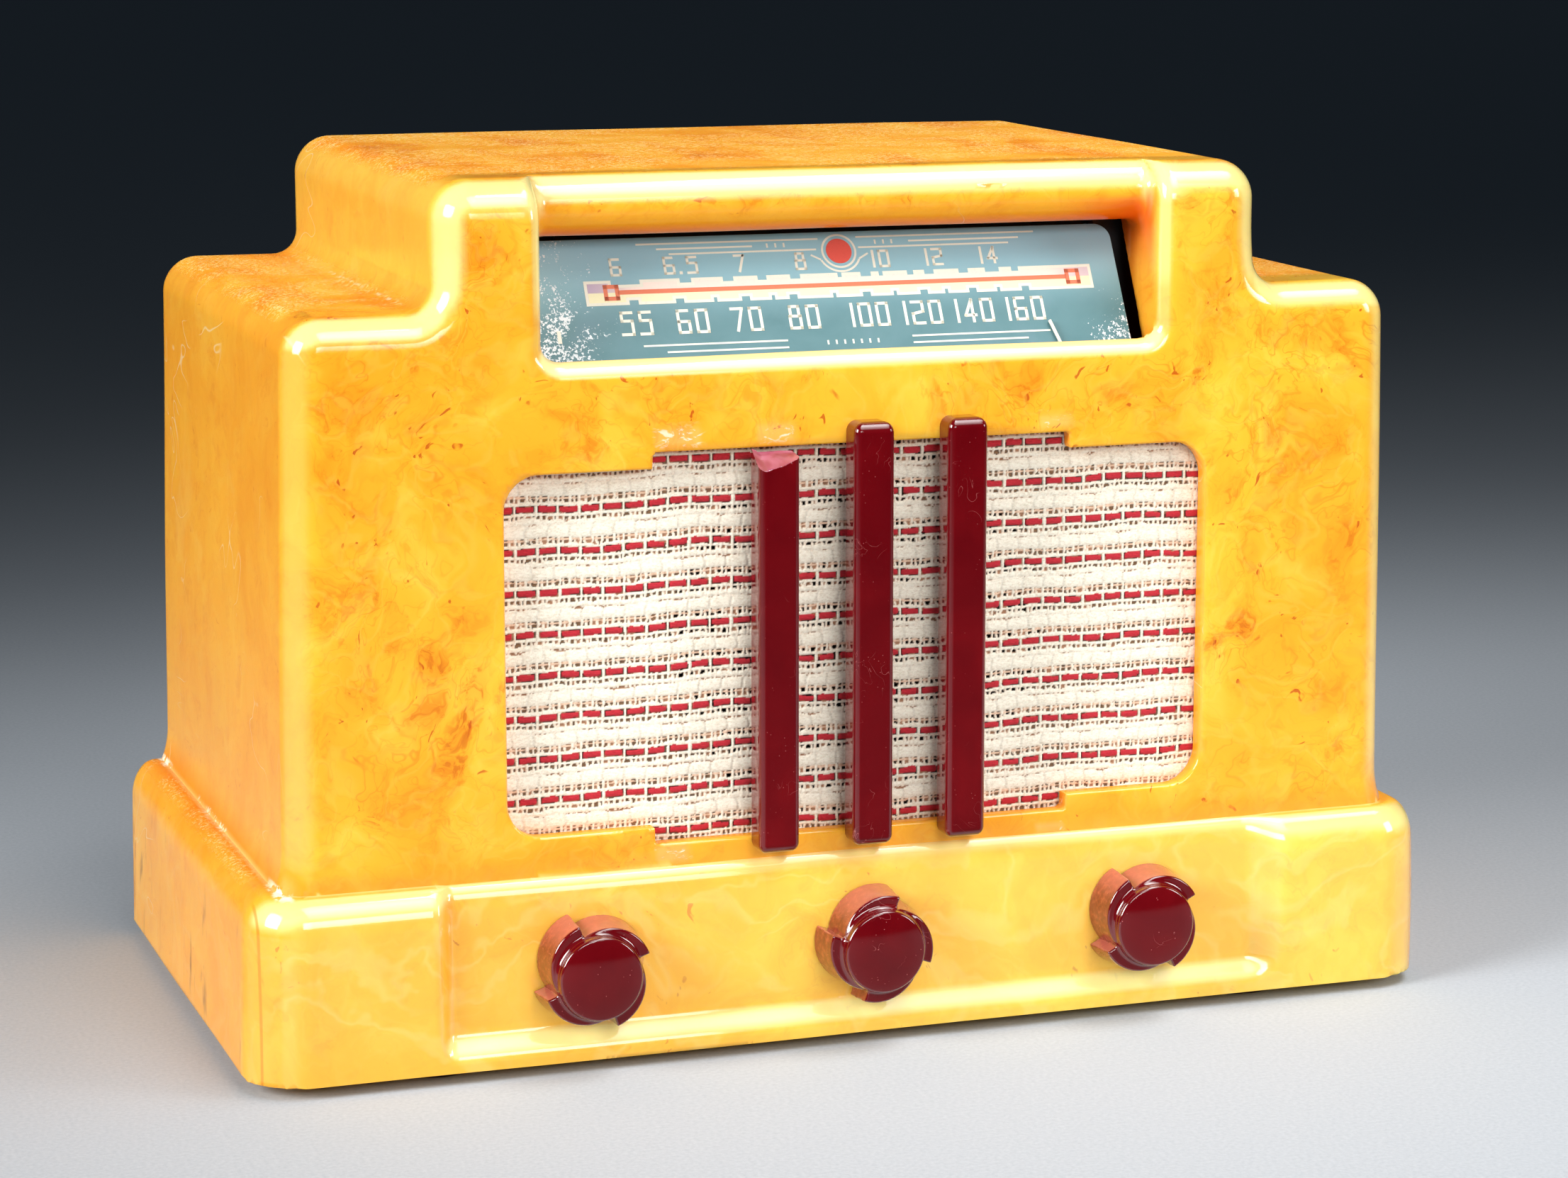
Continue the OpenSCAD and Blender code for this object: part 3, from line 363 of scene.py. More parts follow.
def maroon(name, knob):
    """deep red cast resin, polished on the faces, dull with dust on a knob's flanks, whose up-facing parts carry a
    painted pink highlight
    """
    a = Mat(name, rgb(116, 8, 16), 0.16)
    a.set("IOR", 1.56)
    a.set("Coat Roughness", 0.02)
    a.set("Subsurface Weight", 0.05)
    a.set("Subsurface Radius", (0.004, 0.0006, 0.0004))
    a.set("Subsurface Scale", 1.0)
    ny, nz = a.xyz(a.normal)[1:]
    n1 = a.noise(60, 3, 0.5, 0.5)
    col = a.ramp(n1, [(0.30, rgb(90, 4, 11)), (0.55, rgb(98, 6, 13)), (0.75, rgb(110, 9, 16))])
    specks = a.mul(a.step(a.voronoi(900), 0.13, 0.07), a.step(a.noise(260, 2), 0.53, 0.60))
    scr = a.math("ABSOLUTE", a.math("SUBTRACT", a.noise(120, 2, 0.5, 1.5), 0.5))
    scr = a.mul(a.step(scr, 0.004, 0.0), a.step(a.noise(90, 2), 0.58, 0.66))
    marks = a.math("MAXIMUM", specks, scr)
    rough = a.math("ADD", 0.07, a.mul(a.noise(200, 2), 0.05))
    flat = a.step(ny, -0.90, -0.99)
    if knob:
        flank = a.mul(a.step(a.math("ABSOLUTE", ny), 0.42, 0.12), a.step(a.xyz(a.co)[1], -0.0814, -0.0806))
        d = a.noise(620, 4, 0.65)
        fl = a.ramp(d, [(0.30, rgb(92, 21, 14)), (0.5, rgb(118, 36, 25)), (0.72, rgb(156, 68, 50))])
        # painted highlight: the flanks' up-facing parts are painted pink
        fl = a.mix(a.mul(a.step(nz, 0.3, 0.95), 0.42), fl, rgb(226, 128, 116))
        col = a.mix(a.mul(flank, 0.92), col, fl)
        rough = a.math("ADD", rough, a.mul(flank, 0.42))
        col = a.mix(a.mul(marks, 0.60), col, rgb(230, 130, 130))
        a.gloss(flat, 0.20, 1.0, 1.7)
    else:
        x, y, z = a.xyz(a.co)
        broke = a.mul(a.mul(a.step(z, 0.1375, 0.1385), a.step(z, 0.1465, 0.1455)), a.mul(a.step(nz, 0.45, 0.62), a.step(x, -0.0175, -0.0180)))
        shell = a.ramp(a.noise(170, 2, 0.5, 0.8), [(0.3, rgb(132, 46, 68)), (0.55, rgb(170, 92, 118)), (0.75, rgb(204, 146, 168))])
        col = a.mix(a.mul(marks, 0.35), col, rgb(214, 120, 120))
        col = a.mix(broke, col, shell)
        a.gloss(flat, 0.06, 1.0, 1.6)
    a.set("Base Color", col)
    a.set("Roughness", rough)
    a.bump(a.math("ADD", a.noise(70, 2), a.mul(marks, 0.10)), 0.06, 0.0003)
    return a.m


def metal(name, base, rough=0.32, brushed=None, spots=None, bump=0.15):
    a = Mat(name, base, rough, 1.0)
    n1 = a.noise(120, 4, 0.6)
    dark = tuple(c * 0.72 for c in base)
    light = tuple(min(1, c * 1.12) for c in base)
    col = a.ramp(n1, [(0.3, dark), (0.55, base), (0.8, light)])
    if spots:
        col = a.mix(a.mul(a.step(a.noise(85, 5, 0.7, 0.4), 0.58, 0.72), 0.7), col, spots)
    a.set("Base Color", col)
    a.set("Roughness", a.math("ADD", rough - 0.08, a.mul(a.noise(260, 3), 0.22)))
    vec = a.scaled(a.co, brushed) if brushed else a.co
    a.bump(a.noise(700, 3, 0.6, vec=vec), bump, 0.0002)
    return a.m


def solid(name, base, rough, vary=0.2, scale=140, grain=900, bump=0.25, depth=0.0002, second=None, stretch=None, **sockets):
    a = Mat(name, base, rough, 0.0, **sockets)
    v = a.scaled(a.co, stretch) if stretch else a.co
    n1 = a.noise(scale, 5, 0.6, 0.3, vec=v)
    dark = tuple(c * (1 - vary) for c in base)
    light = second or tuple(min(1, c * (1 + vary)) for c in base)
    a.set("Base Color", a.ramp(n1, [(0.28, dark), (0.5, base), (0.75, light)]))
    a.set("Roughness", a.math("ADD", rough - 0.06, a.mul(a.noise(grain * 0.5, 3), 0.14)))
    a.bump(a.noise(grain, 4, 0.65, vec=v), bump, depth)
    return a.m


def fibreboard():
    a = Mat("fibreboard", rgb(92, 60, 34), 0.72)
    f = a.noise(700, 4, 0.7, 0.3, vec=a.scaled(a.co, (0.35, 1, 1.6)))
    g = a.noise(46, 4, 0.6, 0.5)
    col = a.ramp(f, [(0.3, rgb(92, 62, 38)), (0.5, rgb(124, 88, 56)), (0.75, rgb(156, 116, 78))])
    col = a.mix(a.mul(a.step(g, 0.5, 0.7), 0.35), col, rgb(86, 60, 40))
    a.set("Base Color", col)
    a.bump(f, 0.5, 0.0004)
    return a.m


def plate_paint():
    """painted dial plate: slate blue, paint lost in specks at both ends; its upper part painted lighter as painted
    light
    """
    a = Mat("dial_paint", rgb(94, 136, 144), 0.34)
    a.set("Specular IOR Level", 0.30)
    x, y, z = a.xyz(a.co)
    n1 = a.noise(60, 4, 0.6, 0.3)
    col = a.ramp(n1, [(0.3, rgb(80, 122, 129)), (0.55, rgb(90, 131, 138)), (0.8, rgb(102, 138, 149))])
    # painted light: the plate is painted lighter and bluer towards the top, where the brow shades it, and paler again
    # at the top towards both ends
    col = a.mix(a.mul(a.step(z, 0.172, 0.189), 0.85), col, rgb(164, 212, 226))
    hi = a.mul(a.step(z, 0.178, 0.192), a.math("MAXIMUM", a.step(x, 0.01, 0.05), a.step(x, -0.03, -0.06)))
    col = a.mix(a.mul(hi, 0.3), col, rgb(150, 176, 200))
    left = a.step(x, -0.052, -0.072)
    lowl = a.math("ADD", 0.55, a.mul(a.step(z, 0.186, 0.168), 0.45))
    rightm = a.mul(a.step(x, 0.056, 0.069), a.step(z, 0.181, 0.168))
    area = a.math("MAXIMUM", a.mul(left, lowl), a.mul(rightm, 0.95))
    sp = a.noise(1500, 3, 0.65, 0.2)
    big = a.noise(240, 3, 0.6)
    worn = a.step(a.math("ADD", a.math("ADD", sp, a.mul(big, 0.55)), a.mul(area, 0.24)), 1.035, 1.055)
    worn = a.mul(worn, a.step(area, 0.06, 0.2))
    col = a.mix(worn, col, rgb(232, 240, 244))
    a.set("Base Color", col)
    a.set("Roughness", a.math("ADD", 0.26, a.mul(a.noise(300, 3), 0.16)))
    a.bump(a.math("ADD", a.mul(worn, -1.0), a.mul(a.noise(800, 3), 0.12)), 0.35, 0.00008)
    return a.m


def print_paint(name, base, wear=0.35, ends=None):
    a = Mat(name, base, 0.5)
    a.set("Specular IOR Level", 0.2)
    n1 = a.noise(1600, 3, 0.6)
    col = a.mix(a.mul(a.step(n1, 0.55, 0.72), wear), base, tuple(c * 0.78 for c in base))
    if ends:
        x = a.xyz(a.co)[0]
        col = a.mix(a.mul(a.math("MAXIMUM", a.step(x, -0.050, -0.063), a.mul(a.step(x, 0.052, 0.063), 0.6)), 0.9), col, ends)
    a.set("Base Color", col)
    a.bump(a.noise(2600, 2), 0.2, 0.00005)
    return a.m


def glass(name="bulb_glass"):
    a = Mat(name, (0.92, 0.95, 0.96), 0.04)
    a.set("IOR", 1.47)
    a.set("Alpha", 0.32)
    col = a.mix(a.mul(a.step(a.noise(60, 3), 0.4, 0.7), 0.5), (0.86, 0.90, 0.92), (0.60, 0.64, 0.66))
    a.set("Base Color", col)
    a.set("Roughness", a.math("ADD", 0.03, a.mul(a.noise(90, 3), 0.08)))
    a.bump(a.noise(70, 2), 0.08, 0.0004)
    return a.m


def thread_cloth():
    a = Mat("grille_fabric", rgb(236, 226, 206), 0.85)
    a.set("Specular IOR Level", 0.15)
    a.set("Sheen Weight", 0.2)
    a.set("Sheen Roughness", 0.5)
    n = a.nt.nodes.new("ShaderNodeVertexColor")
    n.layer_name = "thread"
    fib = a.noise(2600, 3, 0.7, 0.2, vec=a.scaled(a.co, (0.5, 1, 1)))
    col = a.mix(a.mul(a.step(fib, 0.40, 0.72), 0.45), n.outputs["Color"], a.mix(1.0, n.outputs["Color"], rgb(196, 180, 158), "MULTIPLY"))
    a.set("Base Color", col)
    a.bump(fib, 0.5, 0.00015)
    return a.m


M = {}
M["catalin"] = catalin()
M["maroon_bar"] = maroon("catalin_maroon_bar", False)
M["maroon_knob"] = maroon("catalin_maroon_knob", True)
M["cloth"] = thread_cloth()
M["board"] = fibreboard()
M["plate"] = plate_paint()
M["white"] = print_paint("dial_white", rgb(240, 238, 222))
M["cream"] = print_paint("dial_cream", rgb(248, 242, 200), 0.2)
M["pink"] = print_paint("dial_pink", rgb(250, 232, 220), 0.25, rgb(190, 170, 196))
M["orange"] = print_paint("dial_orange", rgb(232, 132, 100), 0.3)
M["red"] = print_paint("dial_red", rgb(232, 96, 84), 0.3)
M["zinc"] = metal("zinc_screw", (0.62, 0.62, 0.58), 0.34, spots=(0.32, 0.26, 0.18))
M["steel"] = metal("plated_steel", (0.58, 0.58, 0.55), 0.36, spots=(0.36, 0.31, 0.24))
M["bright"] = metal("shaft_steel", (0.66, 0.66, 0.65), 0.24, brushed=(1, 0.1, 1))
M["dark"] = metal("dark_steel", (0.13, 0.135, 0.14), 0.45, spots=(0.20, 0.14, 0.10))
M["brass"] = metal("spring_brass", (0.72, 0.54, 0.26), 0.32)
M["pulley"] = metal("pulley_brass", (0.70, 0.56, 0.30), 0.34)
M["vane"] = metal("vane_aluminium", (0.78, 0.79, 0.78), 0.30, brushed=(1, 0.2, 1))
M["can"] = metal("can_aluminium", (0.74, 0.75, 0.74), 0.38, spots=(0.52, 0.50, 0.46))
M["paper"] = solid("cone_paper", rgb(54, 46, 38), 0.9, 0.3, 300, 1500, 0.5)
M["pot"] = solid("control_case", rgb(120, 104, 78), 0.5, 0.25, 200, 900)
M["phenolic"] = solid("phenolic", rgb(92, 52, 26), 0.55, 0.3, 160, 1000)
M["black"] = solid("black_paint", rgb(17, 17, 18), 0.45, 0.3, 120, 1100, 0.3)
M["pointer"] = solid("pointer_paint", rgb(238, 234, 220), 0.45, 0.08, 300, 1200, 0.15)
M["string"] = solid("dial_string", rgb(176, 154, 110), 0.85, 0.35, 1500, 3000, 0.6)
M["valve_base"] = solid("valve_base", rgb(30, 22, 18), 0.32, 0.3, 120, 900, 0.15)
M["wire"] = solid("antenna_wire", rgb(126, 74, 34), 0.5, 0.4, 500, 2400, 0.5, stretch=(0.3, 1, 1))
M["rubber"] = solid("rubber_black", rgb(46, 22, 18), 0.8, 0.3, 160, 1300, 0.5)
M["lamination"] = solid("lamination", rgb(46, 42, 38), 0.5, 0.35, 200, 2600, 0.6, stretch=(0.05, 1, 0.05))
M["glass"] = glass()
M["getter"] = metal("getter", (0.42, 0.42, 0.44), 0.18)


# ---------------------------------------------------------------- solids from distances
def imax(a, b, r):
    """intersection with a round edge of radius r"""
    return np.minimum(-r, np.maximum(a, b)) + np.hypot(np.maximum(r + a, 0), np.maximum(r + b, 0))


def umin(a, b, r):
    """union with a fillet of radius r in the corner"""
    return np.maximum(r, np.minimum(a, b)) - np.hypot(np.maximum(r - a, 0), np.maximum(r - b, 0))


def ss(a, b, t):
    t = np.clip((t - a) / (b - a), 0, 1)
    return t * t * (3 - 2 * t)


def grad(f, p, e=0.02):
    k = np.array([[1, -1, -1], [-1, -1, 1], [-1, 1, -1], [1, 1, 1]], float)
    g = np.zeros_like(p)
    for d in k:
        q = p + d * e
        g += d * np.asarray(f(q[:, 0], q[:, 1], q[:, 2])).reshape(-1, 1)
    return g / (4 * e)


def sdf_mesh(name, f, lo, hi, h, material, smooth_limit=0.93):
    """dual contouring of f < 0, corners kept sharp, normals from the distance itself"""
    lo = np.asarray(lo, float)
    n = np.ceil((np.asarray(hi, float) - lo) / h).astype(int) + 1
    ax = [lo[i] + h * np.arange(n[i]) for i in range(3)]
    V = np.array(np.broadcast_to(f(ax[0][:, None, None], ax[1][None, :, None], ax[2][None, None, :]), n))
    V[V == 0] = 1e-9
    nc = n - 1
    total = int(nc.prod())
    strides = np.array([nc[1] * nc[2], nc[2], 1])
    lists, quads = [], []
    for a in range(3):
        b, c = (a + 1) % 3, (a + 2) % 3
        s0 = [slice(None)] * 3
        s1 = [slice(None)] * 3
        s0[a], s1[a] = slice(0, -1), slice(1, None)
        v0, v1 = V[tuple(s0)], V[tuple(s1)]
        idx = np.argwhere((v0 < 0) != (v1 < 0))
        idx = idx[(idx[:, b] > 0) & (idx[:, b] < n[b] - 1) & (idx[:, c] > 0) & (idx[:, c] < n[c] - 1)]
        w0 = v0[tuple(idx.T)]
        w1 = v1[tuple(idx.T)]
        p = lo + h * idx.astype(float)
        p[:, a] += h * w0 / (w0 - w1)
        base = idx @ strides
        four = np.stack([base - strides[b] - strides[c], base - strides[c], base, base - strides[b]], 1)
        lists.append((p, four))
        quads.append(np.where((w0 < 0)[:, None], four, four[:, ::-1]))
    P = np.concatenate([q[0] for q in lists])
    four = np.concatenate([q[1] for q in lists])
    quads = np.concatenate(quads)
    g = grad(f, P)
    g /= np.maximum(np.linalg.norm(g, axis=1, keepdims=True), 1e-9)
    used, inv = np.unique(four.ravel(), return_inverse=True)
    rep = np.repeat(np.arange(len(P)), 4)
    m_ = len(used)

    def gather(v):
        return np.bincount(inv, weights=v[rep], minlength=m_)

    cnt = gather(np.ones(len(P)))
    c = np.stack([gather(P[:, i]) for i in range(3)], 1) / cnt[:, None]
    A = np.zeros((m_, 3, 3))
    d = (g * P).sum(1)
    bvec = np.zeros((m_, 3))
    for i in range(3):
        bvec[:, i] = gather(g[:, i] * d)
        for j in range(i, 3):
            A[:, i, j] = A[:, j, i] = gather(g[:, i] * g[:, j])
    nsum = np.stack([gather(g[:, i]) for i in range(3)], 1)
    agree = np.linalg.norm(nsum, axis=1) / cnt
    rhs = bvec - np.einsum("nij,nj->ni", A, c)
    x = c + np.linalg.solve(A + 0.04 * np.eye(3), rhs[:, :, None])[:, :, 0]
    cell = np.stack(np.unravel_index(used, nc), 1)
    low = lo + h * cell
    x = np.clip(x, low + 0.02 * h, low + 0.98 * h)
    fl = agree > smooth_limit
    for _ in range(2):
        q = x[fl]
        gq = grad(f, q)
        val = np.asarray(f(q[:, 0], q[:, 1], q[:, 2]))
        stepv = -(val / np.maximum((gq**2).sum(1), 0.05))[:, None] * gq
        ln = np.linalg.norm(stepv, axis=1, keepdims=True)
        x[fl] = q + stepv * np.minimum(1, 0.5 * h / np.maximum(ln, 1e-9))
    faces = np.searchsorted(used, quads)
    gv = grad(f, x)
    gv /= np.maximum(np.linalg.norm(gv, axis=1, keepdims=True), 1e-9)
    e1 = x[faces[:, 2]] - x[faces[:, 0]]
    e2 = x[faces[:, 3]] - x[faces[:, 1]]
    fn = np.cross(e1, e2)
    area = np.linalg.norm(fn, axis=1)
    fn /= np.maximum(area, 1e-12)[:, None]
    lv = gv[faces]
    ok = np.einsum("nij,nj->ni", lv, fn) > 0.80
    ln_ = np.where(ok[:, :, None], lv, fn[:, None, :])
    return make_mesh(name, row(x), faces, material, ln_.reshape(-1, 3))


def make_mesh(name, verts, faces, material, loop_normals=None, smooth=True):
    me = bpy.data.meshes.new(name)
    nf = len(faces)
    k = faces.shape[1]
    me.vertices.add(len(verts))
    me.vertices.foreach_set("co", np.asarray(verts, np.float32).ravel())
    me.loops.add(nf * k)
    me.loops.foreach_set("vertex_index", np.asarray(faces, np.int32).ravel())
    me.polygons.add(nf)
    me.polygons.foreach_set("loop_start", np.arange(0, nf * k, k, dtype=np.int32))
    me.polygons.foreach_set("loop_total", np.full(nf, k, dtype=np.int32))
    me.update(calc_edges=True)
    me.validate(clean_customdata=False)
    if smooth:
        me.polygons.foreach_set("use_smooth", np.ones(len(me.polygons), bool))
    if loop_normals is not None and len(me.loops) == nf * k:
        me.normals_split_custom_set(loop_normals.astype(np.float32))
    ob = bpy.data.objects.new(name, me)
    bpy.context.scene.collection.objects.link(ob)
    me.materials.append(material)
    return ob


def piece(ob, body, slot, *nodes):
    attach(ob, body)
    if nodes:
        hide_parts(*nodes)
    return ob


# ---------------------------------------------------------------- cabinet
WX0, WX1 = -77.8, 75.4
COVER = [(-136, 16), (136, 16), (-126, 162), (126, 162), (0, 194.5), (0, 9.6)]


def wobble(x, y, z):
    """hand polishing: the faces are never quite flat"""
    return 0.10 * np.sin(x / 17.0 + 1.3) * np.sin(z / 14.0 + 0.4) + 0.08 * np.sin(x / 31.0 - z / 23.0) + 0.06 * np.sin(y / 19.0 + z / 27.0)


def outer_f(x, y, z):
    """the case from outside, as if it were solid"""
    ax = np.abs(x)
    # body and tower, drawn as one elevation
    wb = 139.7 - 2.3 * np.clip((z - 43.8) / 131.7, 0, 1) + 1.5 * np.clip((52.5 - z) / 8.5, 0, 1) ** 2
    E = umin(imax(ax - wb, z - 175.5, 9.0), imax(ax - 102.7, z - 205.6, 9.5), 6.0)
    A = imax(E, -y, 8.3 + 1.7 * ss(176, 190, z))
    A = imax(A, y - 151.0, 1.5)
    # scoop over the dial, then the rolled brow that bridges it
    xr, N, rf = brow_parts(x, y, z)
    S = np.maximum(imax(xr, 163.4 - z, 4.5), y - 19.5)
    near = ss(-9.5, -4.0, xr)
    rl = 4.5 - 0.7 * ss(164, 170, z)
    rl = rl * (1 - ss(5.0, 13.5, y) * ss(194, 203, z)) * (1 - (1 - near) * ss(176, 184, z))
    A = imax(A, -S, np.maximum(rl, 0.05))
    A = umin(A, np.maximum(N, xr - 2.0), rf)
    # plinth with the shallow recess for the knobs
    t = np.clip(z / 43.8, 0, 1)
    wp = 150.0 - 0.9 * t
    lr = np.maximum(np.clip(1 - (x + 106.5) / 4.5, 0, 1), np.clip(1 - (110.0 - x) / 11.0, 0, 1))
    bt = np.clip(1 - (z - 1.9) / 7.6, 0, 1)
    s = 1 - np.minimum(np.hypot(lr, bt), 1)
    rec = s * s * (3 - 2 * s)
    yf = -(5.9 + 0.7 * (1 - np.clip((z - 22) / 22, -1, 1) ** 2)) + 3.55 * rec
    pl = imax(ax - wp, yf - y, 14.0)
    r = np.clip(-yf - 0.02, 2.6, 6.55)
    k = r / (9.0 - 2.4 * rec)
    P = imax(pl, (z - 43.8) * k, r)
    P = imax(P, -z, 1.0)
    P = imax(P, y - 151.0, 1.5)
    # below the knobs there is only the plinth, which closes the underside
    return np.minimum(np.maximum(A, 20.0 - z), P)


def brow_parts(x, y, z):
    xr = np.maximum(WX0 - x, x - WX1)
    N = np.hypot(np.minimum(y - 14.8, 0), z - 198.35) - 7.25
    N = imax(N, y - 20.0, 2.0)
    return xr, N, np.maximum(3.6 * (1 - ss(199.5, 205.2, z)), 0.05)


def cabinet_f(x, y, z):
    ax = np.abs(x)
    F = outer_f(x, y, z) + wobble(x, y, z)
    # hollow, open at the back
    xr, N, rf = brow_parts(x, y, z)
    cb = imax(ax - 134.2, np.maximum(z - 170.9, 5.6 - z), 5.0)
    cp = np.maximum(ax - 145.0, np.maximum(z - 36.2, 4.6 - z))
    ct = imax(ax - 98.1, np.maximum(z - 201.0, 60.0 - z), 5.0)
    c2 = np.minimum(np.minimum(cb, cp), ct)
    C = np.maximum(c2, 4.6 - y)
    cheek = np.maximum(np.maximum(np.abs(xr - 2.0) - 2.0, 158.0 - z), (y - (9.0 + (z - 158.0) / 2.0)) * 0.894)
    C = np.maximum(C, -umin(cheek, np.maximum(N, xr - 4.0), rf))
    F = np.maximum(F, -C)
    # cloth opening with its step, edges just broken
    G = np.minimum(imax(ax - 87.8, np.abs(z - 95.5) - 42.6, 8.5), imax(ax - 52.2, np.abs(z - 95.5) - 46.5, 1.2))
    G = np.maximum(G, y - 9.0)
    F = imax(F, -G, 0.7)
    # holes for the control shafts, posts for the back cover
    for cx in (-70.0, 0.0, 70.0):
        F = np.maximum(F, -np.maximum(np.hypot(x - cx, z - 22.0) - 5.5, y - 8.0))
    for px, pz in COVER:
        post = np.hypot(x - px, z - pz) - 4.8
        if px:
            post = np.minimum(post, np.maximum(np.abs(z - pz) - 4.8, np.maximum(np.abs(px) - ax, ax - (np.abs(px) + 9.5 if pz < 50 else np.abs(px) + 9.0))))
        else:
            post = np.minimum(post, np.maximum(ax - 4.8, np.maximum(pz - z, z - 203.0) if pz > 100 else np.maximum(z - pz, 3.0 - z)))
        post = np.maximum(post, np.maximum(135.5 - y, y - 147.5))
        post = np.maximum(post, -(np.hypot(x - px, z - pz) - 1.4))
        F = np.minimum(F, post)
    for sx in (-90.0, 90.0):
        post = np.maximum(np.hypot(x - sx, z - 180.0) - 4.0, np.maximum(3.6 - y, y - 27.0))
        F = np.minimum(F, post)
    return F


cabinet = sdf_mesh("cabinet_shell", cabinet_f, (-152, -8.5, -1.5), (152, 153, 208), 1.25, M["catalin"])
piece(cabinet, "case", "catalin_amber", "cabinet")

# what the shader needs to know about the shape: thin edges and folds for the painted glow and painted shade, old glue,
# cloudy zones
GLUE = [(-46, 145.6, 5.0, 1.7), (-22.3, 145.4, 4.0, 1.9), (48.4, 144.8, 3.6, 1.3), (-47.9, 46.7, 3.4, 1.6), (47.9, 44.9, 3.2, 0.8)]
CLOUDS = [(-92, 187, 8, 1.0), (-95, 168, 9, 0.5), (-118, 160, 10, 0.8), (-104, 146, 10, 0.7), (-129, 140, 8, 0.4), (-117, 105, 13, 0.9), (-105, 82, 13, 1.0),
          (-122, 66, 9, 0.7), (-98, 62, 9, 0.5), (-70, 152, 9, 0.7), (-50, 154, 8, 0.8), (-30, 153, 7, 0.5), (24, 152, 8, 0.8), (40, 154, 9, 1.0), (60, 153, 8, 0.8),
          (80, 156, 8, 0.8), (92, 172, 8, 0.6), (90, 190, 7, 0.7), (108, 160, 9, 1.0), (128, 164, 8, 1.0), (102, 136, 9, 1.0), (122, 128, 8, 0.8), (130, 108, 7, 0.7),
          (104, 112, 8, 1.0), (97, 86, 7, 0.8), (116, 78, 9, 0.6), (130, 62, 7, 0.5), (96, 58, 7, 0.5), (-60, 48, 8, 0.5), (118, 52, 7, 0.7), (-14, 20, 7, 0.5), (112, 28, 7, 0.4)]


def shade_fields(ob):
    n_ = len(ob.data.vertices)
    p = np.empty(n_ * 3)
    ob.data.vertices.foreach_get("co", p)
    p = p.reshape(-1, 3) * 1000 - np.array([0.0, OY, FH])
    g = grad(outer_f, p, 0.3)
    g /= np.maximum(np.linalg.norm(g, axis=1, keepdims=True), 1e-6)
    q = p - 18 * g
    edge = np.clip((18 + np.asarray(outer_f(q[:, 0], q[:, 1], q[:, 2]))) / 3.0, 0, 1)
    edge *= ss(0.20, 0.46, -g[:, 1]) * (1 - ss(0.86, 0.985, -g[:, 1])) * ss(-0.35, 0.05, g[:, 2])
    q = p + 5 * g
    fold_shade = np.clip((5 - np.asarray(outer_f(q[:, 0], q[:, 1], q[:, 2]))) / 3.0, 0, 1)
    glue = np.zeros(n_)
    for gx, gz, hx, hz in GLUE:
        glue = np.maximum(glue, (np.clip(hx + 1 - np.abs(p[:, 0] - gx), 0, 1) * np.clip(hz + 0.8 - np.abs(p[:, 2] - gz), 0, 1)) * (p[:, 1] < 1.5))
    cloud = np.zeros(n_)
    front = np.clip((6 - p[:, 1]) / 5, 0, 1)
    for cx_, cz_, cr, cs in CLOUDS:
        d2 = ((p[:, 0] - cx_) ** 2 + ((p[:, 2] - cz_) * 0.8) ** 2) / cr**2
        cloud = np.maximum(cloud, cs * np.exp(-0.7 * d2))
    cloud = cloud * front + 0.45 * (1 - front)
    at = ob.data.color_attributes.new("fields", "FLOAT_COLOR", "POINT")
    at.data.foreach_set("color", np.stack([edge, fold_shade, glue, cloud], 1).astype(np.float32).ravel())


shade_fields(cabinet)


# ---------------------------------------------------------------- grille bars
def bar_f(cx, top, broken):
    def f(x, y, z):
        w = -y
        d = imax(np.abs(x - cx) - 5.0, w - 6.8, 1.7)
        d = imax(d, z - 147.5, 2.6)
        d = imax(d, 46.0 - z, 2.2)
        d = np.maximum(d, -(w + 0.0))
        if broken:
            q = x - cx
            lvl = top + 1.5 - w * (0.56 - 0.05 * (q + 3.0)) + 0.5 * np.maximum(-q - 3.2, 0) + 0.12 * np.sin(q * 0.9 + w * 0.6)
            d = np.maximum(d, (z - lvl) * 0.85)
        return d
    return f


for nm, cx, top, broken in (("left", -23.5, 139.6, True), ("middle", 0.0, 147.5, False), ("right", 23.5, 147.5, False)):
    ob = sdf_mesh("grille_bar_" + nm, bar_f(cx, top, broken), (cx - 6, -7.6, 45), (cx + 6, 0.8, 149), 0.6, M["maroon_bar"])
    piece(ob, "case", "catalin_maroon", "bar_" + nm)


# ---------------------------------------------------------------- knobs
def knob_f(cx, turn):
    def f(x, y, z):
        u, v, w = x - cx, z - 22.0, -y
        r = np.hypot(u, v)
        flare = 1.2 * np.clip((12.9 - w) / 9.5, -0.1, 1.1)
        lob = r - (10.2 + 0.8 * flare)
        for k_ in range(4):
            t_ = math.radians(turn + 90 * k_)
            a = u * math.cos(t_) + v * math.sin(t_)
            b = -u * math.sin(t_) + v * math.cos(t_)
            lob = np.minimum(lob, imax(np.maximum(np.hypot(a - 2.65, b) - (10.5 + 0.7 * flare), -a), -b, 0.35))
        body = imax(lob, w - 12.9, 0.55)
        body = np.maximum(body, 3.4 - w)
        # a cove runs up from the blades to the rim of the domed disc
        dome = np.hypot(r, w - (16.6 - 38.0)) - 38.0
        disc = imax(r - 10.0, dome, 0.55)
        disc = np.maximum(disc, 10.0 - w)
        d = umin(body, disc, 1.3)
        d = np.maximum(d, -np.maximum(r - 5.8, w - 4.6))
        t_ = math.radians(turn)
        flat = u * math.cos(t_) + v * math.sin(t_) - 2.65
        d = np.maximum(d, -np.maximum(np.maximum(r - 3.2, flat), w - 10.6))
        return d
    return f


for nm, cx, turn in (("volume", -70.0, 20.0), ("band", 0.0, -20.0), ("tuning", 70.0, 28.0)):
    ob = sdf_mesh(nm + "_knob_visual", knob_f(cx, turn), (cx - 15, -17.4, 7), (cx + 15, -2.6, 37), 0.4, M["maroon_knob"])
    piece(ob, nm, "catalin_maroon", nm + "_knob")


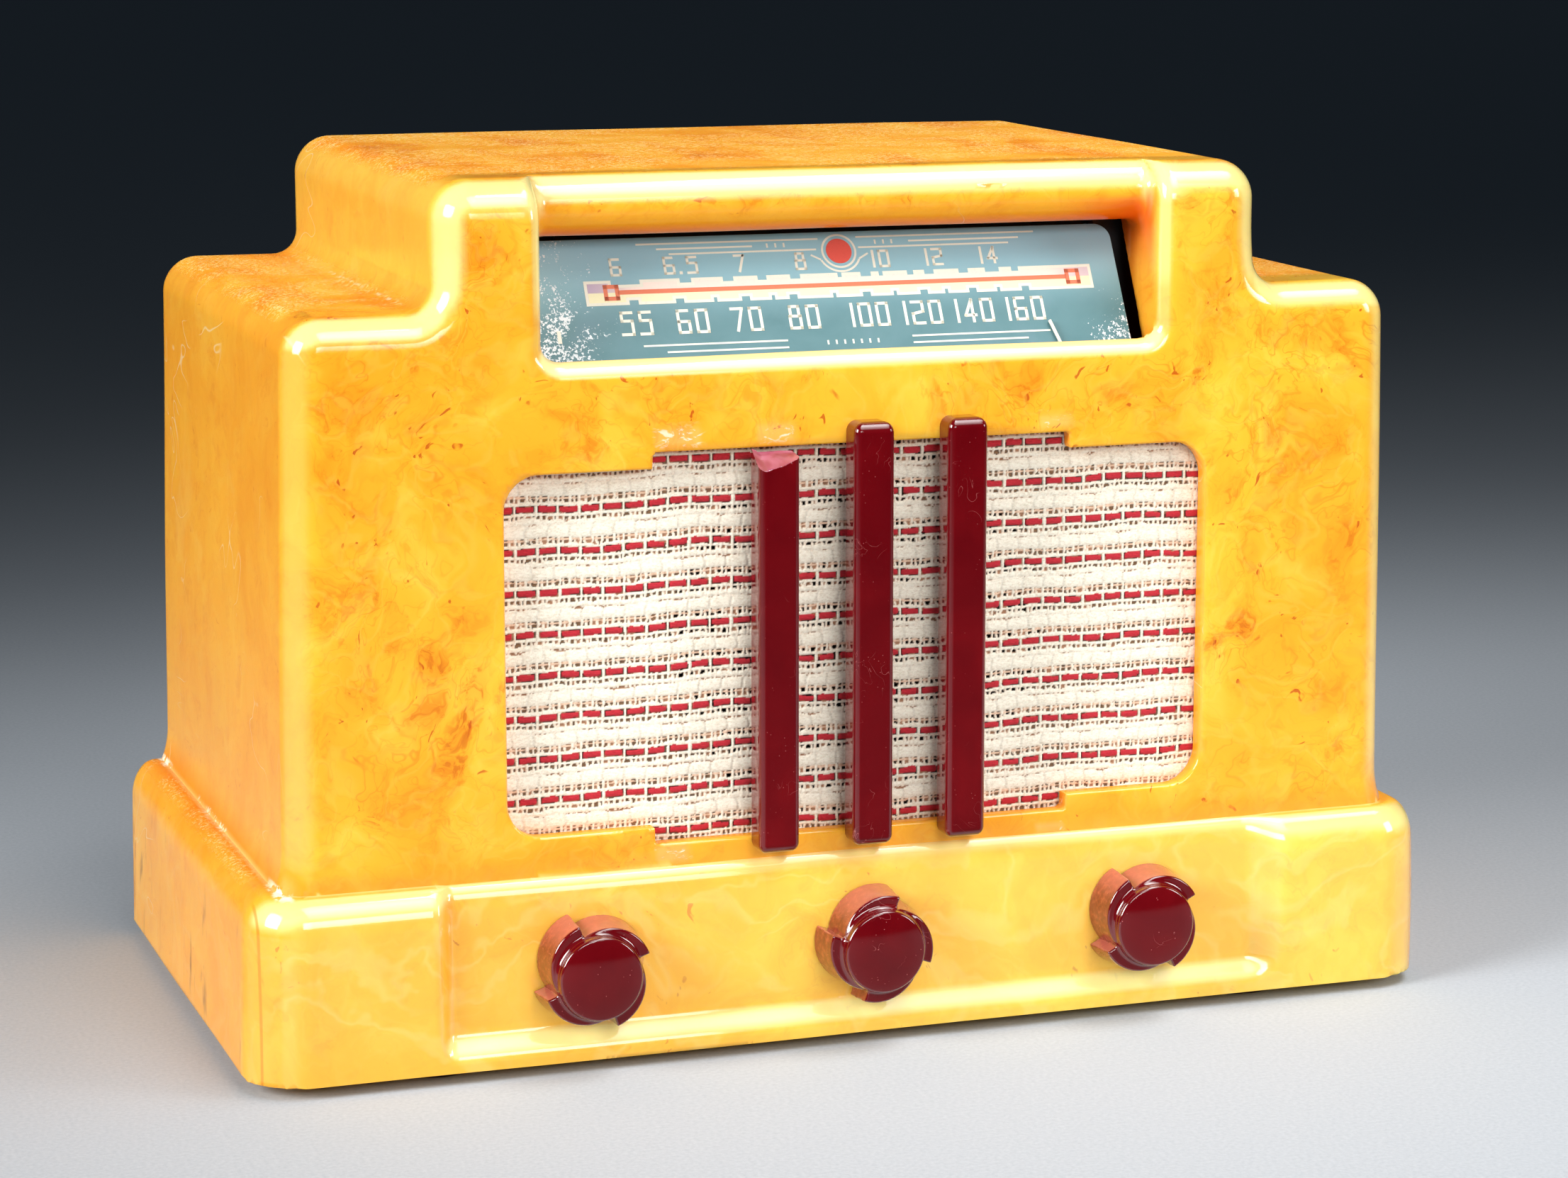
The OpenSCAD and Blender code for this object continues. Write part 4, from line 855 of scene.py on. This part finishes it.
# ---------------------------------------------------------------- grille cloth
def weave(X, Z, xs):
    """height and colour of the cloth at every point, from the weave's draft"""
    rng = np.random.default_rng(7)

    def lumps(n, width):
        k = rng.normal(size=n)
        w = np.hanning(width + 2)[1:-1]
        k = np.convolve(k, w / w.sum(), "same")
        return k / k.std()

    period, pitch = 9.8, 1.317
    wave = 0.26 * np.sin(X / 14.0 + 0.6) + 0.18 * np.sin(X / 6.1 + Z / 23.0) + 0.11 * np.sin(X / 2.9 + Z / 5.0)
    rowpos = (Z + wave - 119.7) / period
    k0 = np.round(rowpos)
    v = (rowpos - k0) * period                      # mm from the red thread
    av = np.abs(v)
    sway = 0.20 * np.sin(Z / 9.0 + np.round(X / pitch) * 1.7) + 0.12 * np.sin(Z / 31.0)
    uw = (X + sway) / pitch
    wi = np.round(uw)
    par = np.where(np.mod(wi, 2) == 0, 1.0, -1.0)
    row_i = (k0 - k0.min()).astype(int)
    wi_i = (wi - wi.min()).astype(int)
    nrow = row_i.max() + 1
    xi = np.clip(np.searchsorted(xs, X), 0, len(xs) - 1)
    # in the open rows the warps lean on one another
    lean = rng.normal(size=(nrow, wi_i.max() + 1)) * 0.5 + 1.0
    u = (uw - wi) * pitch + 0.15 * par * lean[row_i, wi_i] * np.sin(v * 1.9) * np.clip(av - 0.8, 0, 0.6) / 0.6
    cu = np.cos(np.clip(u / pitch, -0.5, 0.5) * math.pi)
    white, tan, red, hole_shade, peach = (np.array(rgb(*c)) for c in ((255, 247, 229), (244, 208, 180), (196, 46, 58), (36, 22, 16), (216, 170, 138)))
    shut = rng.random(size=(nrow, wi_i.max() + 2, 3))
    zone_i = np.where(v > 0, 0, np.where(v > -2.6, 1, 2))
    gap_i = (np.floor(uw) - np.floor(uw).min()).astype(int)
    gap_i = np.clip(gap_i, 0, shut.shape[1] - 1)
    closed = np.clip((shut[row_i, gap_i, zone_i] - 0.58) / 0.25, 0, 1)
    closed = np.maximum(closed, 0.85 * (v < -3.3))[..., None]
    # painted shade: open gaps are painted near-black brown for the dark behind them, and closed gaps a dimmed peach
    H = np.where(closed[..., 0] > 0.5, -0.30, -0.55)
    col = hole_shade * (1 - closed) + peach * 0.75 * closed

    def lay(h, c):
        nonlocal H, col
        t_ = h > H
        H = np.where(t_, h, H)
        col = np.where(t_[..., None], c, col)

    # thin wefts in plain weave, then the slub, then the red float over three warps in four; each thread is painted
    # darker towards its edges as painted shade
    for c0, hw, pp, hh in ((1.22, 0.44, 0, 0.42), (-1.30, 0.36, 1, 0.34), (-3.02, 0.62, 0, 0.44), (2.62, 0.24, 1, 0.14)):
        tab = np.stack([lumps(len(xs), 13) for _ in range(nrow)])
        wob = tab[row_i, xi]
        dv = v - c0 - 0.07 * wob
        hw_ = hw * (1 + 0.14 * wob)
        pr = np.sqrt(np.clip(1 - (dv / hw_) ** 2, 0, 1))
        over = np.where(np.mod(wi + pp, 2) == 0, 1.0, -1.0)
        h = np.where(np.abs(dv) < hw_, hh * pr - 0.10 + 0.16 * over * cu, -9)
        lay(h, (white if hh > 0.2 else tan) * (0.82 + 0.18 * pr)[..., None])
    tabs = np.stack([lumps(len(xs), 21) for _ in range(nrow + 1)])
    for c0, up_ in ((4.55, 1), (-5.25, 0)):
        up_row = np.clip(row_i + up_, 0, nrow)
        wob = tabs[up_row, xi]
        dv = v - c0 - 0.10 * wob
        hw_ = 1.50 * (1 + 0.06 * wob)
        pr = np.sqrt(np.clip(1 - (dv / hw_) ** 2, 0, 1))
        nip = np.where(np.mod(wi + 2 + up_row, 4) == 0, np.clip(1 - (u / 0.42) ** 2, 0, 1), 0.0)
        strand = np.sin((X * 0.6 + dv * 2.1) * 3.0 + wob) * 0.6 + np.sin(dv * 9.0 + X * 0.8 + 2 * wob) * 0.4
        h = np.where(np.abs(dv) < hw_ * (1 - 0.16 * nip), 0.68 * pr - 0.06 - 0.26 * nip + 0.03 * strand, -9)
        lay(h, white * (0.84 + 0.16 * pr + 0.035 * strand - 0.16 * nip)[..., None])
    tab = np.stack([lumps(len(xs), 15) for _ in range(nrow)])
    wob = tab[row_i, xi]
    dv = v - 0.06 * wob
    hw_ = 0.76 * (1 + 0.08 * wob) * (0.62 + 0.38 * np.clip((np.abs(np.mod(uw + 2, 4) - 2) - 0.30) / 0.45, 0, 1))
    pr = np.sqrt(np.clip(1 - (dv / hw_) ** 2, 0, 1))
    cross = np.mod(wi, 4) == 0
    dash = ~(cross & (np.abs(u) < 0.54))
    fray = 0.09 * np.sin(v * 11.0 + X * 1.3 + wob) + 0.05 * np.sin(X * 4.3 + v * 7.0)
    end_ = np.clip((np.abs(np.mod(uw + 2, 4) - 2) - 0.40) / 0.35, 0, 1)
    h = np.where(dash & (np.abs(dv) < hw_), 0.56 * pr * (0.65 + 0.35 * end_) - 0.02, -9)
    lay(h, red * (0.76 + 0.24 * pr + fray)[..., None])
    # warps: knots over and under, hidden where the thick threads float; lower warps are painted tan and their edges
    # darker as painted shade
    ww = 0.33 + 0.05 * np.sin(wi * 2.3)
    prof = np.sqrt(np.clip(1 - (u / ww) ** 2, 0, 1))
    side_ = np.where(v > 0, -1.0, 1.0)
    ride = 0.15 * par * side_ * np.cos((av - 1.25) / 1.65 * math.pi)
    base = -0.06 + 0.24 * prof + ride
    sink = np.where(av < 0.95, np.where(cross, 0.44 * np.cos(np.clip(av / 1.3, 0, 1) * math.pi / 2), -0.9), 0)
    slubz = (v > 3.30) | (v < -4.0)
    sink = np.where(slubz, -0.9, sink)
    h = np.where(np.abs(u) < ww, base + sink, -9)
    tone = np.clip(0.25 + 0.75 * (h + 0.25) / 0.6, 0, 1)[..., None]
    wc = tan * (1 - tone) + white * tone
    lay(h, wc * (0.80 + 0.20 * prof)[..., None])
    # threads deep in the weave sit in each other's shade
    occ = np.clip(0.60 + 0.56 * (H + 0.42) / 0.75, 0.42, 1.0)
    tint = np.stack([occ ** 0.6, occ ** 0.95, occ ** 1.2], -1)
    col = np.clip(col * tint * (1 + 0.03 * rng.normal(size=X.shape))[..., None], 0, 1)
    H = np.clip(H, -0.45, 0.66) + 0.010 * rng.normal(size=X.shape)
    return H, col


def build_cloth():
    step = 0.24
    xs = np.concatenate([np.arange(-113, -90, 3.0), np.arange(-90, 90.01, step), np.arange(93, 113.1, 3.0)])
    zs = np.arange(47.6, 145.6, step)
    X, Z = np.meshgrid(xs, zs, indexing="ij")
    H, col = weave(X, Z, xs)
    edge = np.clip(np.minimum(X + 90, 90 - X), 0, 1)
    Y = 5.02 - 0.42 * H * edge
    nx_, nz_ = X.shape
    verts = np.stack([X, Y, Z], -1).reshape(-1, 3)
    i = np.arange(nx_ * nz_).reshape(nx_, nz_)
    faces = np.stack([i[:-1, :-1], i[1:, :-1], i[1:, 1:], i[:-1, 1:]], -1).reshape(-1, 4)
    # leave the real holes open
    open_ = (H <= -0.41).reshape(-1)
    faces = faces[~open_[faces].all(1)]
    used = np.unique(faces)
    remap = np.full(len(verts), -1)
    remap[used] = np.arange(len(used))
    faces = remap[faces]
    ob = make_mesh("grille_fabric", row(verts[used]), faces, M["cloth"])
    vc = col.reshape(-1, 3)[used]
    at = ob.data.color_attributes.new("thread", "FLOAT_COLOR", "POINT")
    at.data.foreach_set("color", np.concatenate([vc, np.ones((len(vc), 1))], 1).astype(np.float32).ravel())
    return ob


cloth = build_cloth()
piece(cloth, "case", "grille_fabric", "grille_cloth")


# ---------------------------------------------------------------- dial print
T30 = math.radians(30)


def on_plate(X, s, d):
    """plate-local (X, s up the plate, d in front) to the case frame"""
    return (X, 8 + s * math.sin(T30) - d * math.cos(T30), 163.4 + s * math.cos(T30) + d * math.sin(T30))


class Print:
    """flat marks on the leaning plate, each a thin closed prism"""

    def __init__(self):
        self.v, self.f = [], []

    def prism(self, poly, d0, d1):
        area = sum(a[0] * b[1] - a[1] * b[0] for a, b in zip(poly, poly[1:] + poly[:1]))
        if area < 0:
            poly = poly[::-1]
        n = len(poly)
        b = len(self.v)
        self.v += [on_plate(x, s, d0) for x, s in poly] + [on_plate(x, s, d1) for x, s in poly]
        self.f.append([b + n + i for i in range(n)])
        self.f.append([b + n - 1 - i for i in range(n)])
        self.f += [[b + i, b + (i + 1) % n, b + n + (i + 1) % n, b + n + i] for i in range(n)]

    def box(self, x0, s0, x1, s1, d0=0.0, d1=0.05):
        self.prism([(x0, s0), (x1, s0), (x1, s1), (x0, s1)], d0, d1)

    def stroke(self, a, b, w, d0=0.0, d1=0.05, cap=True):
        dx, ds = b[0] - a[0], b[1] - a[1]
        ln = math.hypot(dx, ds)
        ux, us = dx / ln, ds / ln
        e = w / 2 if cap else 0
        a = (a[0] - ux * e, a[1] - us * e)
        b = (b[0] + ux * e, b[1] + us * e)
        px, ps = -us * w / 2, ux * w / 2
        self.prism([(a[0] + px, a[1] + ps), (b[0] + px, b[1] + ps), (b[0] - px, b[1] - ps), (a[0] - px, a[1] - ps)], d0, d1)

    def arc(self, cx, cs, r0, r1, a0, a1, n=40, d0=0.0, d1=0.05):
        for i in range(n):
            t0, t1 = (math.radians(a0 + (a1 - a0) * q / n) for q in (i, i + 1))
            self.prism([(cx + r0 * math.cos(t0), cs + r0 * math.sin(t0)), (cx + r1 * math.cos(t0), cs + r1 * math.sin(t0)),
                        (cx + r1 * math.cos(t1), cs + r1 * math.sin(t1)), (cx + r0 * math.cos(t1), cs + r0 * math.sin(t1))], d0, d1)

    def make(self, name, material):
        me = bpy.data.meshes.new(name)
        me.from_pydata([tuple(row(p)) for p in self.v], [], self.f)
        me.update()
        ob = bpy.data.objects.new(name, me)
        bpy.context.scene.collection.objects.link(ob)
        me.materials.append(material)
        return piece(ob, "case", "dial_print")


def build_plate():
    """painted sheet metal on its strips; its left end runs on behind the cheek"""
    out = [(-76.6, -1.0), (71.0, -1.0), (71.0, 26.0)]
    out += [(67.0 + 4 * math.cos(math.radians(a)), 26.0 + 4 * math.sin(math.radians(a))) for a in range(10, 91, 10)]
    out += [(-72.6 + 4 * math.cos(math.radians(a)), 26.0 + 4 * math.sin(math.radians(a))) for a in range(90, 181, 10)]
    bm = bmesh.new()
    n_ = len(out)

    def ring(inset, d):
        cx, cs = -2.8, 14.0
        return [bm.verts.new(tuple(row(on_plate(x + (inset if x < cx else -inset), q + (inset if q < cs else -inset), d)))) for x, q in out]

    rings = [ring(0.15, -1.2), ring(0.0, -1.08), ring(0.0, -0.12), ring(0.06, -0.03), ring(0.16, 0.0)]
    for a, b in zip(rings, rings[1:]):
        for i in range(n_):
            j = (i + 1) % n_
            bm.faces.new([a[i], a[j], b[j], b[i]])
    bm.faces.new(rings[0][::-1])
    bm.faces.new(rings[-1])
    bmesh.ops.recalc_face_normals(bm, faces=bm.faces)
    me = bpy.data.meshes.new("dial_plate_visual")
    bm.to_mesh(me)
    bm.free()
    ob = bpy.data.objects.new("dial_plate_visual", me)
    bpy.context.scene.collection.objects.link(ob)
    me.materials.append(M["plate"])
    return piece(ob, "case", "dial_print", "dial_plate")


build_plate()

# strokes of each numeral in a box one wide and one high
DIGITS = {
    "0": [((0, 0), (1, 0)), ((1, 0), (1, 1)), ((1, 1), (0, 1)), ((0, 1), (0, 0))],
    "1": [((0.5, 0), (0.5, 1))],
    "2": [((0, 1), (1, 1)), ((1, 1), (1, 0.55)), ((1, 0.55), (0, 0.45)), ((0, 0.45), (0, 0)), ((0, 0), (1, 0))],
    "4": [((0.78, 0), (0.78, 1)), ((0.78, 1), (0.05, 0.28)), ((0.05, 0.28), (1.05, 0.28))],
    "5": [((1, 1), (0.05, 1)), ((0.05, 1), (0.05, 0.62)), ((0.05, 0.62), (1, 0.62)), ((1, 0.62), (1, 0)), ((1, 0), (0, 0))],
    "6": [((0.9, 1), (0, 1)), ((0, 1), (0, 0)), ((0, 0), (1, 0)), ((1, 0), (1, 0.5)), ((1, 0.5), (0, 0.5))],
    "7": [((0, 1), (1, 1)), ((1, 1), (0.4, 0))],
    "8": [((0.1, 1), (0.9, 1)), ((0.9, 1), (0.9, 0.55)), ((0.1, 1), (0.1, 0.55)), ((0, 0.55), (1, 0.55)), ((0, 0.55), (0, 0)), ((1, 0.55), (1, 0)), ((0, 0), (1, 0))],
}


def numeral(pr, text, cx, cs, w, h, st):
    gap = st * 1.6
    widths = [0.0 if c == "1" else (0.2 if c == "." else w - st) for c in text]
    total = sum(widths) + (len(text) - 1) * (gap + st)
    x = cx - total / 2
    for c, wd in zip(text, widths):
        s0 = cs - h / 2 + st / 2
        if c == ".":
            pr.box(x - st * 0.6, s0 - st / 2, x + st * 0.6, s0 + st * 0.7)
        else:
            for a, b in DIGITS[c]:
                pr.stroke((x + (a[0] - (0.5 if c == "1" else 0)) * max(wd, 0.01), s0 + a[1] * (h - st)),
                          (x + (b[0] - (0.5 if c == "1" else 0)) * max(wd, 0.01), s0 + b[1] * (h - st)), st)
        x += wd + gap + st


white = Print()
for text, cx in (("55", -52.4), ("60", -38.6), ("70", -25.4), ("80", -11.2), ("100", 5.4), ("120", 18.8), ("140", 32.0), ("160", 45.2)):
    numeral(white, text, cx, 8.3, 3.3, 6.2, 0.72)
for text, cx in (("6", -55.3), ("6.5", -39.4), ("7", -24.8), ("8", -9.7), ("10", 10.6), ("12", 24.2), ("14", 38.2)):
    numeral(white, text, cx, 22.6, 2.8, 4.6, 0.62)
for x0, x1, s in ((-49.5, -4.4, 28.2), (-44.7, -21.0, 26.85), (-41.8, -5.2, 25.5), (5.2, 51.0, 28.4), (18.4, 46.8, 27.0), (5.4, 44.0, 25.7),
                  (-51.5, -16.2, 2.5), (-46.0, -16.2, 0.75), (15.0, 50.5, 2.4), (15.0, 44.5, 0.7)):
    white.box(x0, s - 0.22, x1, s + 0.22)
# short strokes stand where a wave band's name would be
for cx, s, n_ in ((-15.2, 26.9, 3), (12.0, 27.0, 3), (0.0, 1.6, 7)):
    for i in range(n_):
        q = cx + (i - (n_ - 1) / 2) * 2.1
        white.box(q - 0.22, s - 0.55, q + 0.22, s + 0.55)
# painted reflection: a small pale mark on the plate's left end, drawn as white print
white.stroke((-71.3, 4.4), (-71.3, 6.6), 0.9)
white.arc(0.4, 24.9, 3.9, 4.4, 0, 360, 48)
white.arc(0.4, 24.9, 5.0, 5.5, 205, 335, 30)
white.stroke((-4.6, 22.9), (-6.6, 24.0), 0.45)
white.stroke((5.4, 22.9), (7.4, 24.0), 0.45)
# scale band with its notches: tops and bottoms as steps along X
up_n = [(-57.0, -50.0), (-40.2, -37.4), (-29.6, -27.0), (-21.0, -18.8), (-12.9, -10.4), (-1.0, 0.0), (4.8, 7.4), (9.4, 10.4), (16.6, 18.2), (21.0, 23.4), (29.8, 32.2), (36.6, 40.2), (43.4, 45.2)]
dn_n = [(-53.2, -51.0), (-41.9, -39.9), (-32.6, -31.8), (-25.7, -23.7), (-18.3, -17.5), (-13.9, -11.9), (-3.0, -2.2), (4.5, 6.5), (12.3, 13.1), (19.1, 21.0), (25.4, 26.2), (31.6, 33.5), (38.8, 39.6), (45.2, 47.1)]
B0, B1, S0, S1, RIM = -63.6, 64.0, 13.0, 19.3, 0.75


def top_s(x):
    return S1 - 1.15 if any(a <= x <= b for a, b in up_n) else S1


def bot_s(x):
    return S0 + 1.15 if any(a <= x <= b for a, b in dn_n) else S0


cuts = sorted({B0, B1, *(q for ab in up_n + dn_n for q in ab)})
for a, b in zip(cuts, cuts[1:]):
    mid_ = (a + b) / 2
    white.box(a, bot_s(mid_), b, top_s(mid_), 0.0, 0.05)
fine_cuts = sorted({B0 + RIM, B1 - RIM, *(q + e_ for ab in up_n + dn_n for q in ab for e_ in (-RIM, RIM) if B0 + RIM < q + e_ < B1 - RIM)})
cream_p, pink_p, orange_p, red_p = Print(), Print(), Print(), Print()
CEN = 16.2
for a, b in zip(fine_cuts, fine_cuts[1:]):
    mid_ = (a + b) / 2
    t_ = min(top_s(mid_ - RIM), top_s(mid_), top_s(mid_ + RIM)) - RIM
    b_ = max(bot_s(mid_ - RIM), bot_s(mid_), bot_s(mid_ + RIM)) + RIM
    pink_p.box(a, CEN, b, t_, 0.05, 0.08)
    cream_p.box(a, b_, b, CEN, 0.05, 0.08)
orange_p.box(-55.6, CEN - 0.55, 57.2, CEN + 0.55, 0.08, 0.11)
for cx in (-57.2, 58.9):
    for a, b in (((-1.4, -1.5), (1.4, -1.5)), ((1.4, -1.5), (1.4, 1.5)), ((1.4, 1.5), (-1.4, 1.5)), ((-1.4, 1.5), (-1.4, -1.5))):
        orange_p.stroke((cx + a[0], CEN + a[1]), (cx + b[0], CEN + b[1]), 1.0, 0.08, 0.11)
red_p.prism([(0.4 + 3.2 * math.cos(math.radians(a)), 24.9 + 3.2 * math.sin(math.radians(a))) for a in range(0, 360, 9)], 0.0, 0.06)
white.make("dial_print_white", M["white"])
cream_p.make("dial_print_cream", M["cream"])
pink_p.make("dial_print_pink", M["pink"])
orange_p.make("dial_print_orange", M["orange"])
red_p.make("dial_print_red", M["red"])


# ---------------------------------------------------------------- valves
def lathe(profile, n=48):
    """closed profile of (r, z) turned about z; returns verts and faces"""
    v, f = [], []
    k = len(profile)
    for i in range(n):
        t_ = 2 * math.pi * i / n
        v += [(r * math.cos(t_), r * math.sin(t_), z) for r, z in profile]
    for i in range(n):
        j = (i + 1) % n
        for q in range(k - 1):
            f.append([i * k + q, j * k + q, j * k + q + 1, i * k + q + 1])
    return v, f


def build_valve(i, vx, vy, d, h):
    z0 = 40.0
    bm = bmesh.new()
    R_ = d / 2

    def add(profile, mat_i, ox=0.0, oy=0.0, n=40):
        v, f = lathe(profile, n)
        vs = [bm.verts.new(tuple(row((vx + ox + a, vy + oy + b, z0 + c)))) for a, b, c in v]
        for q in f:
            try:
                fc = bm.faces.new([vs[w] for w in q])
                fc.material_index = mat_i
                fc.smooth = True
            except ValueError:
                pass

    add([(0.01, 0), (14.6, 0), (15.5, 0.9), (15.5, 3.2), (14.9, 3.8), (14.9, 20.4), (15.5, 21.0), (15.5, 22.4), (14.2, 23.0), (0.01, 23.0)], 0)
    add([(0.01, -6.6), (3.2, -6.6), (3.8, -6.0), (3.8, 0.2), (0.01, 0.2)], 0, n=24)
    sh = [(R_ * 0.86, 22.6), (R_ * 0.92, 24), (R_ * 0.90, 28), (R_, 34), (R_, h - R_ * 1.25), (R_ * 0.97, h - R_ * 0.95), (R_ * 0.80, h - R_ * 0.55), (R_ * 0.50, h - R_ * 0.2), (R_ * 0.2, h - 0.5), (0.01, h)]
    add(sh, 1)
    inner = [(max(r - 0.9, 0.01), z - (0.9 if z > h - R_ else 0)) for r, z in sh]
    add(inner[::-1], 1)
    add([(0.01, 27), (6.6, 27), (6.6, 52), (0.01, 52)], 2, n=8)
    add([(0.01, 52), (9.5, 52.2), (9.5, 52.8), (0.01, 53)], 3)
    add([(0.01, 26.4), (9.5, 26.6), (9.5, 27.0), (0.01, 27.2)], 3)
    for a in range(0, 360, 45):
        add([(0.01, -8.6), (0.8, -8.6), (1.2, -8.1), (1.2, 0.2), (0.01, 0.2)], 4, 8.7 * math.cos(math.radians(a)), 8.7 * math.sin(math.radians(a)), 12)
    for a in (30, 150, 270):
        add([(0.5, 23), (0.5, 52)], 4, 7.8 * math.cos(math.radians(a)), 7.8 * math.sin(math.radians(a)), 8)
    me = bpy.data.meshes.new(f"valve_{i}_visual")
    bmesh.ops.remove_doubles(bm, verts=bm.verts, dist=1e-6)
    bmesh.ops.recalc_face_normals(bm, faces=bm.faces)
    bm.to_mesh(me)
    bm.free()
    ob = bpy.data.objects.new(f"valve_{i}_visual", me)
    bpy.context.scene.collection.objects.link(ob)
    for k_ in ("valve_base", "glass", "dark", "steel", "bright"):
        me.materials.append(M[k_])
    return piece(ob, "case", "bulb_glass", f"valve_{i}")


for i, ((vx, vy), h) in enumerate(zip([(-102, 112), (-60, 115), (-18, 112), (24, 115), (66, 108)], [84, 84, 84, 88, 84])):
    build_valve(i + 1, vx, vy, 29, h)


# ---------------------------------------------------------------- carried-over nodes
FINISH = {
    "baffle_board": "board", "baffle_screws": "zinc", "speaker_frame": "dark", "speaker_cone": "paper",
    "speaker_magnet": "dark", "speaker_screws": "zinc", "output_transformer": "lamination", "chassis": "steel",
    "chassis_bolts": "zinc", "rubber_feet": "rubber", "foot_screws": "zinc", "volume_clip": "brass", "band_clip": "brass",
    "tuning_clip": "brass", "volume_shaft": "bright", "band_shaft": "bright", "tuning_shaft": "bright",
    "volume_control": "pot", "band_switch": "phenolic", "tuning_bush": "pulley", "control_nuts": "zinc",
    "dial_bracket": "black", "dial_screws": "zinc", "pointer_rail": "bright",
    "dial_pointer": "pointer", "dial_cord": "string", "pulley_left": "pulley", "pulley_right": "pulley",
    "pulley_return": "pulley", "drive_drum": "steel", "gang_rotor": "vane", "gang_frame": "steel",
    "gang_stators": "vane", "lamp_holders": "brass", "dial_lamps": "glass", "valve_sockets": "phenolic",
    "if_can_1": "can", "if_can_2": "can", "filter_can": "can", "back_cover": "board", "back_screws": "zinc",
    "loop_antenna": "wire", "cord_grommet": "rubber",
}
BEVEL = {
    "chassis": 0.4, "chassis_bolts": 0.5, "rubber_feet": 0.8, "volume_control": 0.4, "band_switch": 0.2,
    "back_cover": 0.25, "back_screws": 0.5, "output_transformer": 0.5, "speaker_magnet": 0.8, "filter_can": 0.8,
    "if_can_1": 0.6, "if_can_2": 0.6, "cord_grommet": 0.5, "dial_bracket": 0.15, "control_nuts": 0.3,
    "speaker_frame": 0.2, "drive_drum": 0.15, "valve_sockets": 0.3, "loop_antenna": 0.5,
    "lamp_holders": 0.2, "dial_screws": 0.4, "speaker_screws": 0.4, "baffle_screws": 0.4, "gang_frame": 0.2,
    "dial_pointer": 0.12,
}
for name, key in FINISH.items():
    o = frame["nodes"][name]
    if not o.material_slots:
        o.data.materials.append(M[key])
    for s in o.material_slots:
        s.material = M[key]
    if name in BEVEL:
        b = o.modifiers.new("edge", "BEVEL")
        b.width = BEVEL[name] * 0.001
        b.segments = 2
        b.limit_method = "ANGLE"
        b.angle_limit = math.radians(40)
        b.use_clamp_overlap = True
        b.harden_normals = False


# ---------------------------------------------------------------- stage
floor_m = Mat("stage_floor", rgb(180, 186, 194), 0.8)
n1 = floor_m.noise(900, 3, 0.6)
paper = floor_m.ramp(n1, [(0.3, rgb(172, 179, 187)), (0.7, rgb(186, 192, 199))])
# painted shade: the floor is painted darker towards the back, for light falling off with distance
floor_m.set("Base Color", floor_m.mix(floor_m.mul(floor_m.step(floor_m.xyz(floor_m.co)[1], -0.12, 0.75), 0.64), paper, rgb(104, 113, 124)))
me = bpy.data.meshes.new("floor")
me.from_pydata([(-6, -4, 0), (6, -4, 0), (6, 12, 0), (-6, 12, 0)], [], [(0, 1, 2, 3)])
floor = bpy.data.objects.new("floor", me)
bpy.context.scene.collection.objects.link(floor)
me.materials.append(floor_m.m)


def area_light(name, at, to, size, power, colour=(1, 1, 1), size_y=None, spread=180):
    d = bpy.data.lights.new(name, "AREA")
    d.shape = "RECTANGLE"
    d.size, d.size_y = size, size_y or size
    d.energy = power
    d.color = colour
    d.spread = math.radians(spread)
    o = bpy.data.objects.new(name, d)
    bpy.context.scene.collection.objects.link(o)
    o.location = at
    o.rotation_mode = "QUATERNION"
    o.rotation_quaternion = (Vector(to) - Vector(at)).to_track_quat("-Z", "Y")
    return o


# a tall soft bank leaning over the front, a low fill behind the camera, a small one to the
# right for the knobs and a box on the left; grids keep their light off the far floor
area_light("key", (0.27, -0.86, 1.14), (0.05, -0.24, 0.05), 0.75, 1.24, (1.0, 0.99, 0.97), 1.15, 50)
area_light("top", (0.50, -0.28, 1.20), (0.24, -0.16, 0.0), 0.55, 0.92, (1.0, 1.0, 1.0), 0.55, 56)
area_light("front", (0.05, -1.35, 0.60), (0, 0, 0.13), 0.7, 0.92, (1.0, 0.99, 0.97), 0.35, 60)
area_light("right", (1.05, -0.80, 0.50), (0.05, -0.05, 0.10), 0.35, 0.75, (1.0, 0.99, 0.97), 0.45, 70)
area_light("left", (-1.35, -0.45, 0.75), (-0.10, -0.06, 0.12), 0.75, 3.0, (1.0, 0.99, 0.97), 0.8, 44)
world = bpy.data.worlds.new("world")
bpy.context.scene.world = world
world.use_nodes = True
bg = world.node_tree.nodes["Background"]
bg.inputs[0].default_value = (0.022, 0.029, 0.036, 1)
bg.inputs[1].default_value = 1.0
bpy.context.scene.view_settings.view_transform = "Standard"

for o in bpy.context.scene.objects:
    if o.type == "LIGHT":
        o.visible_camera = False
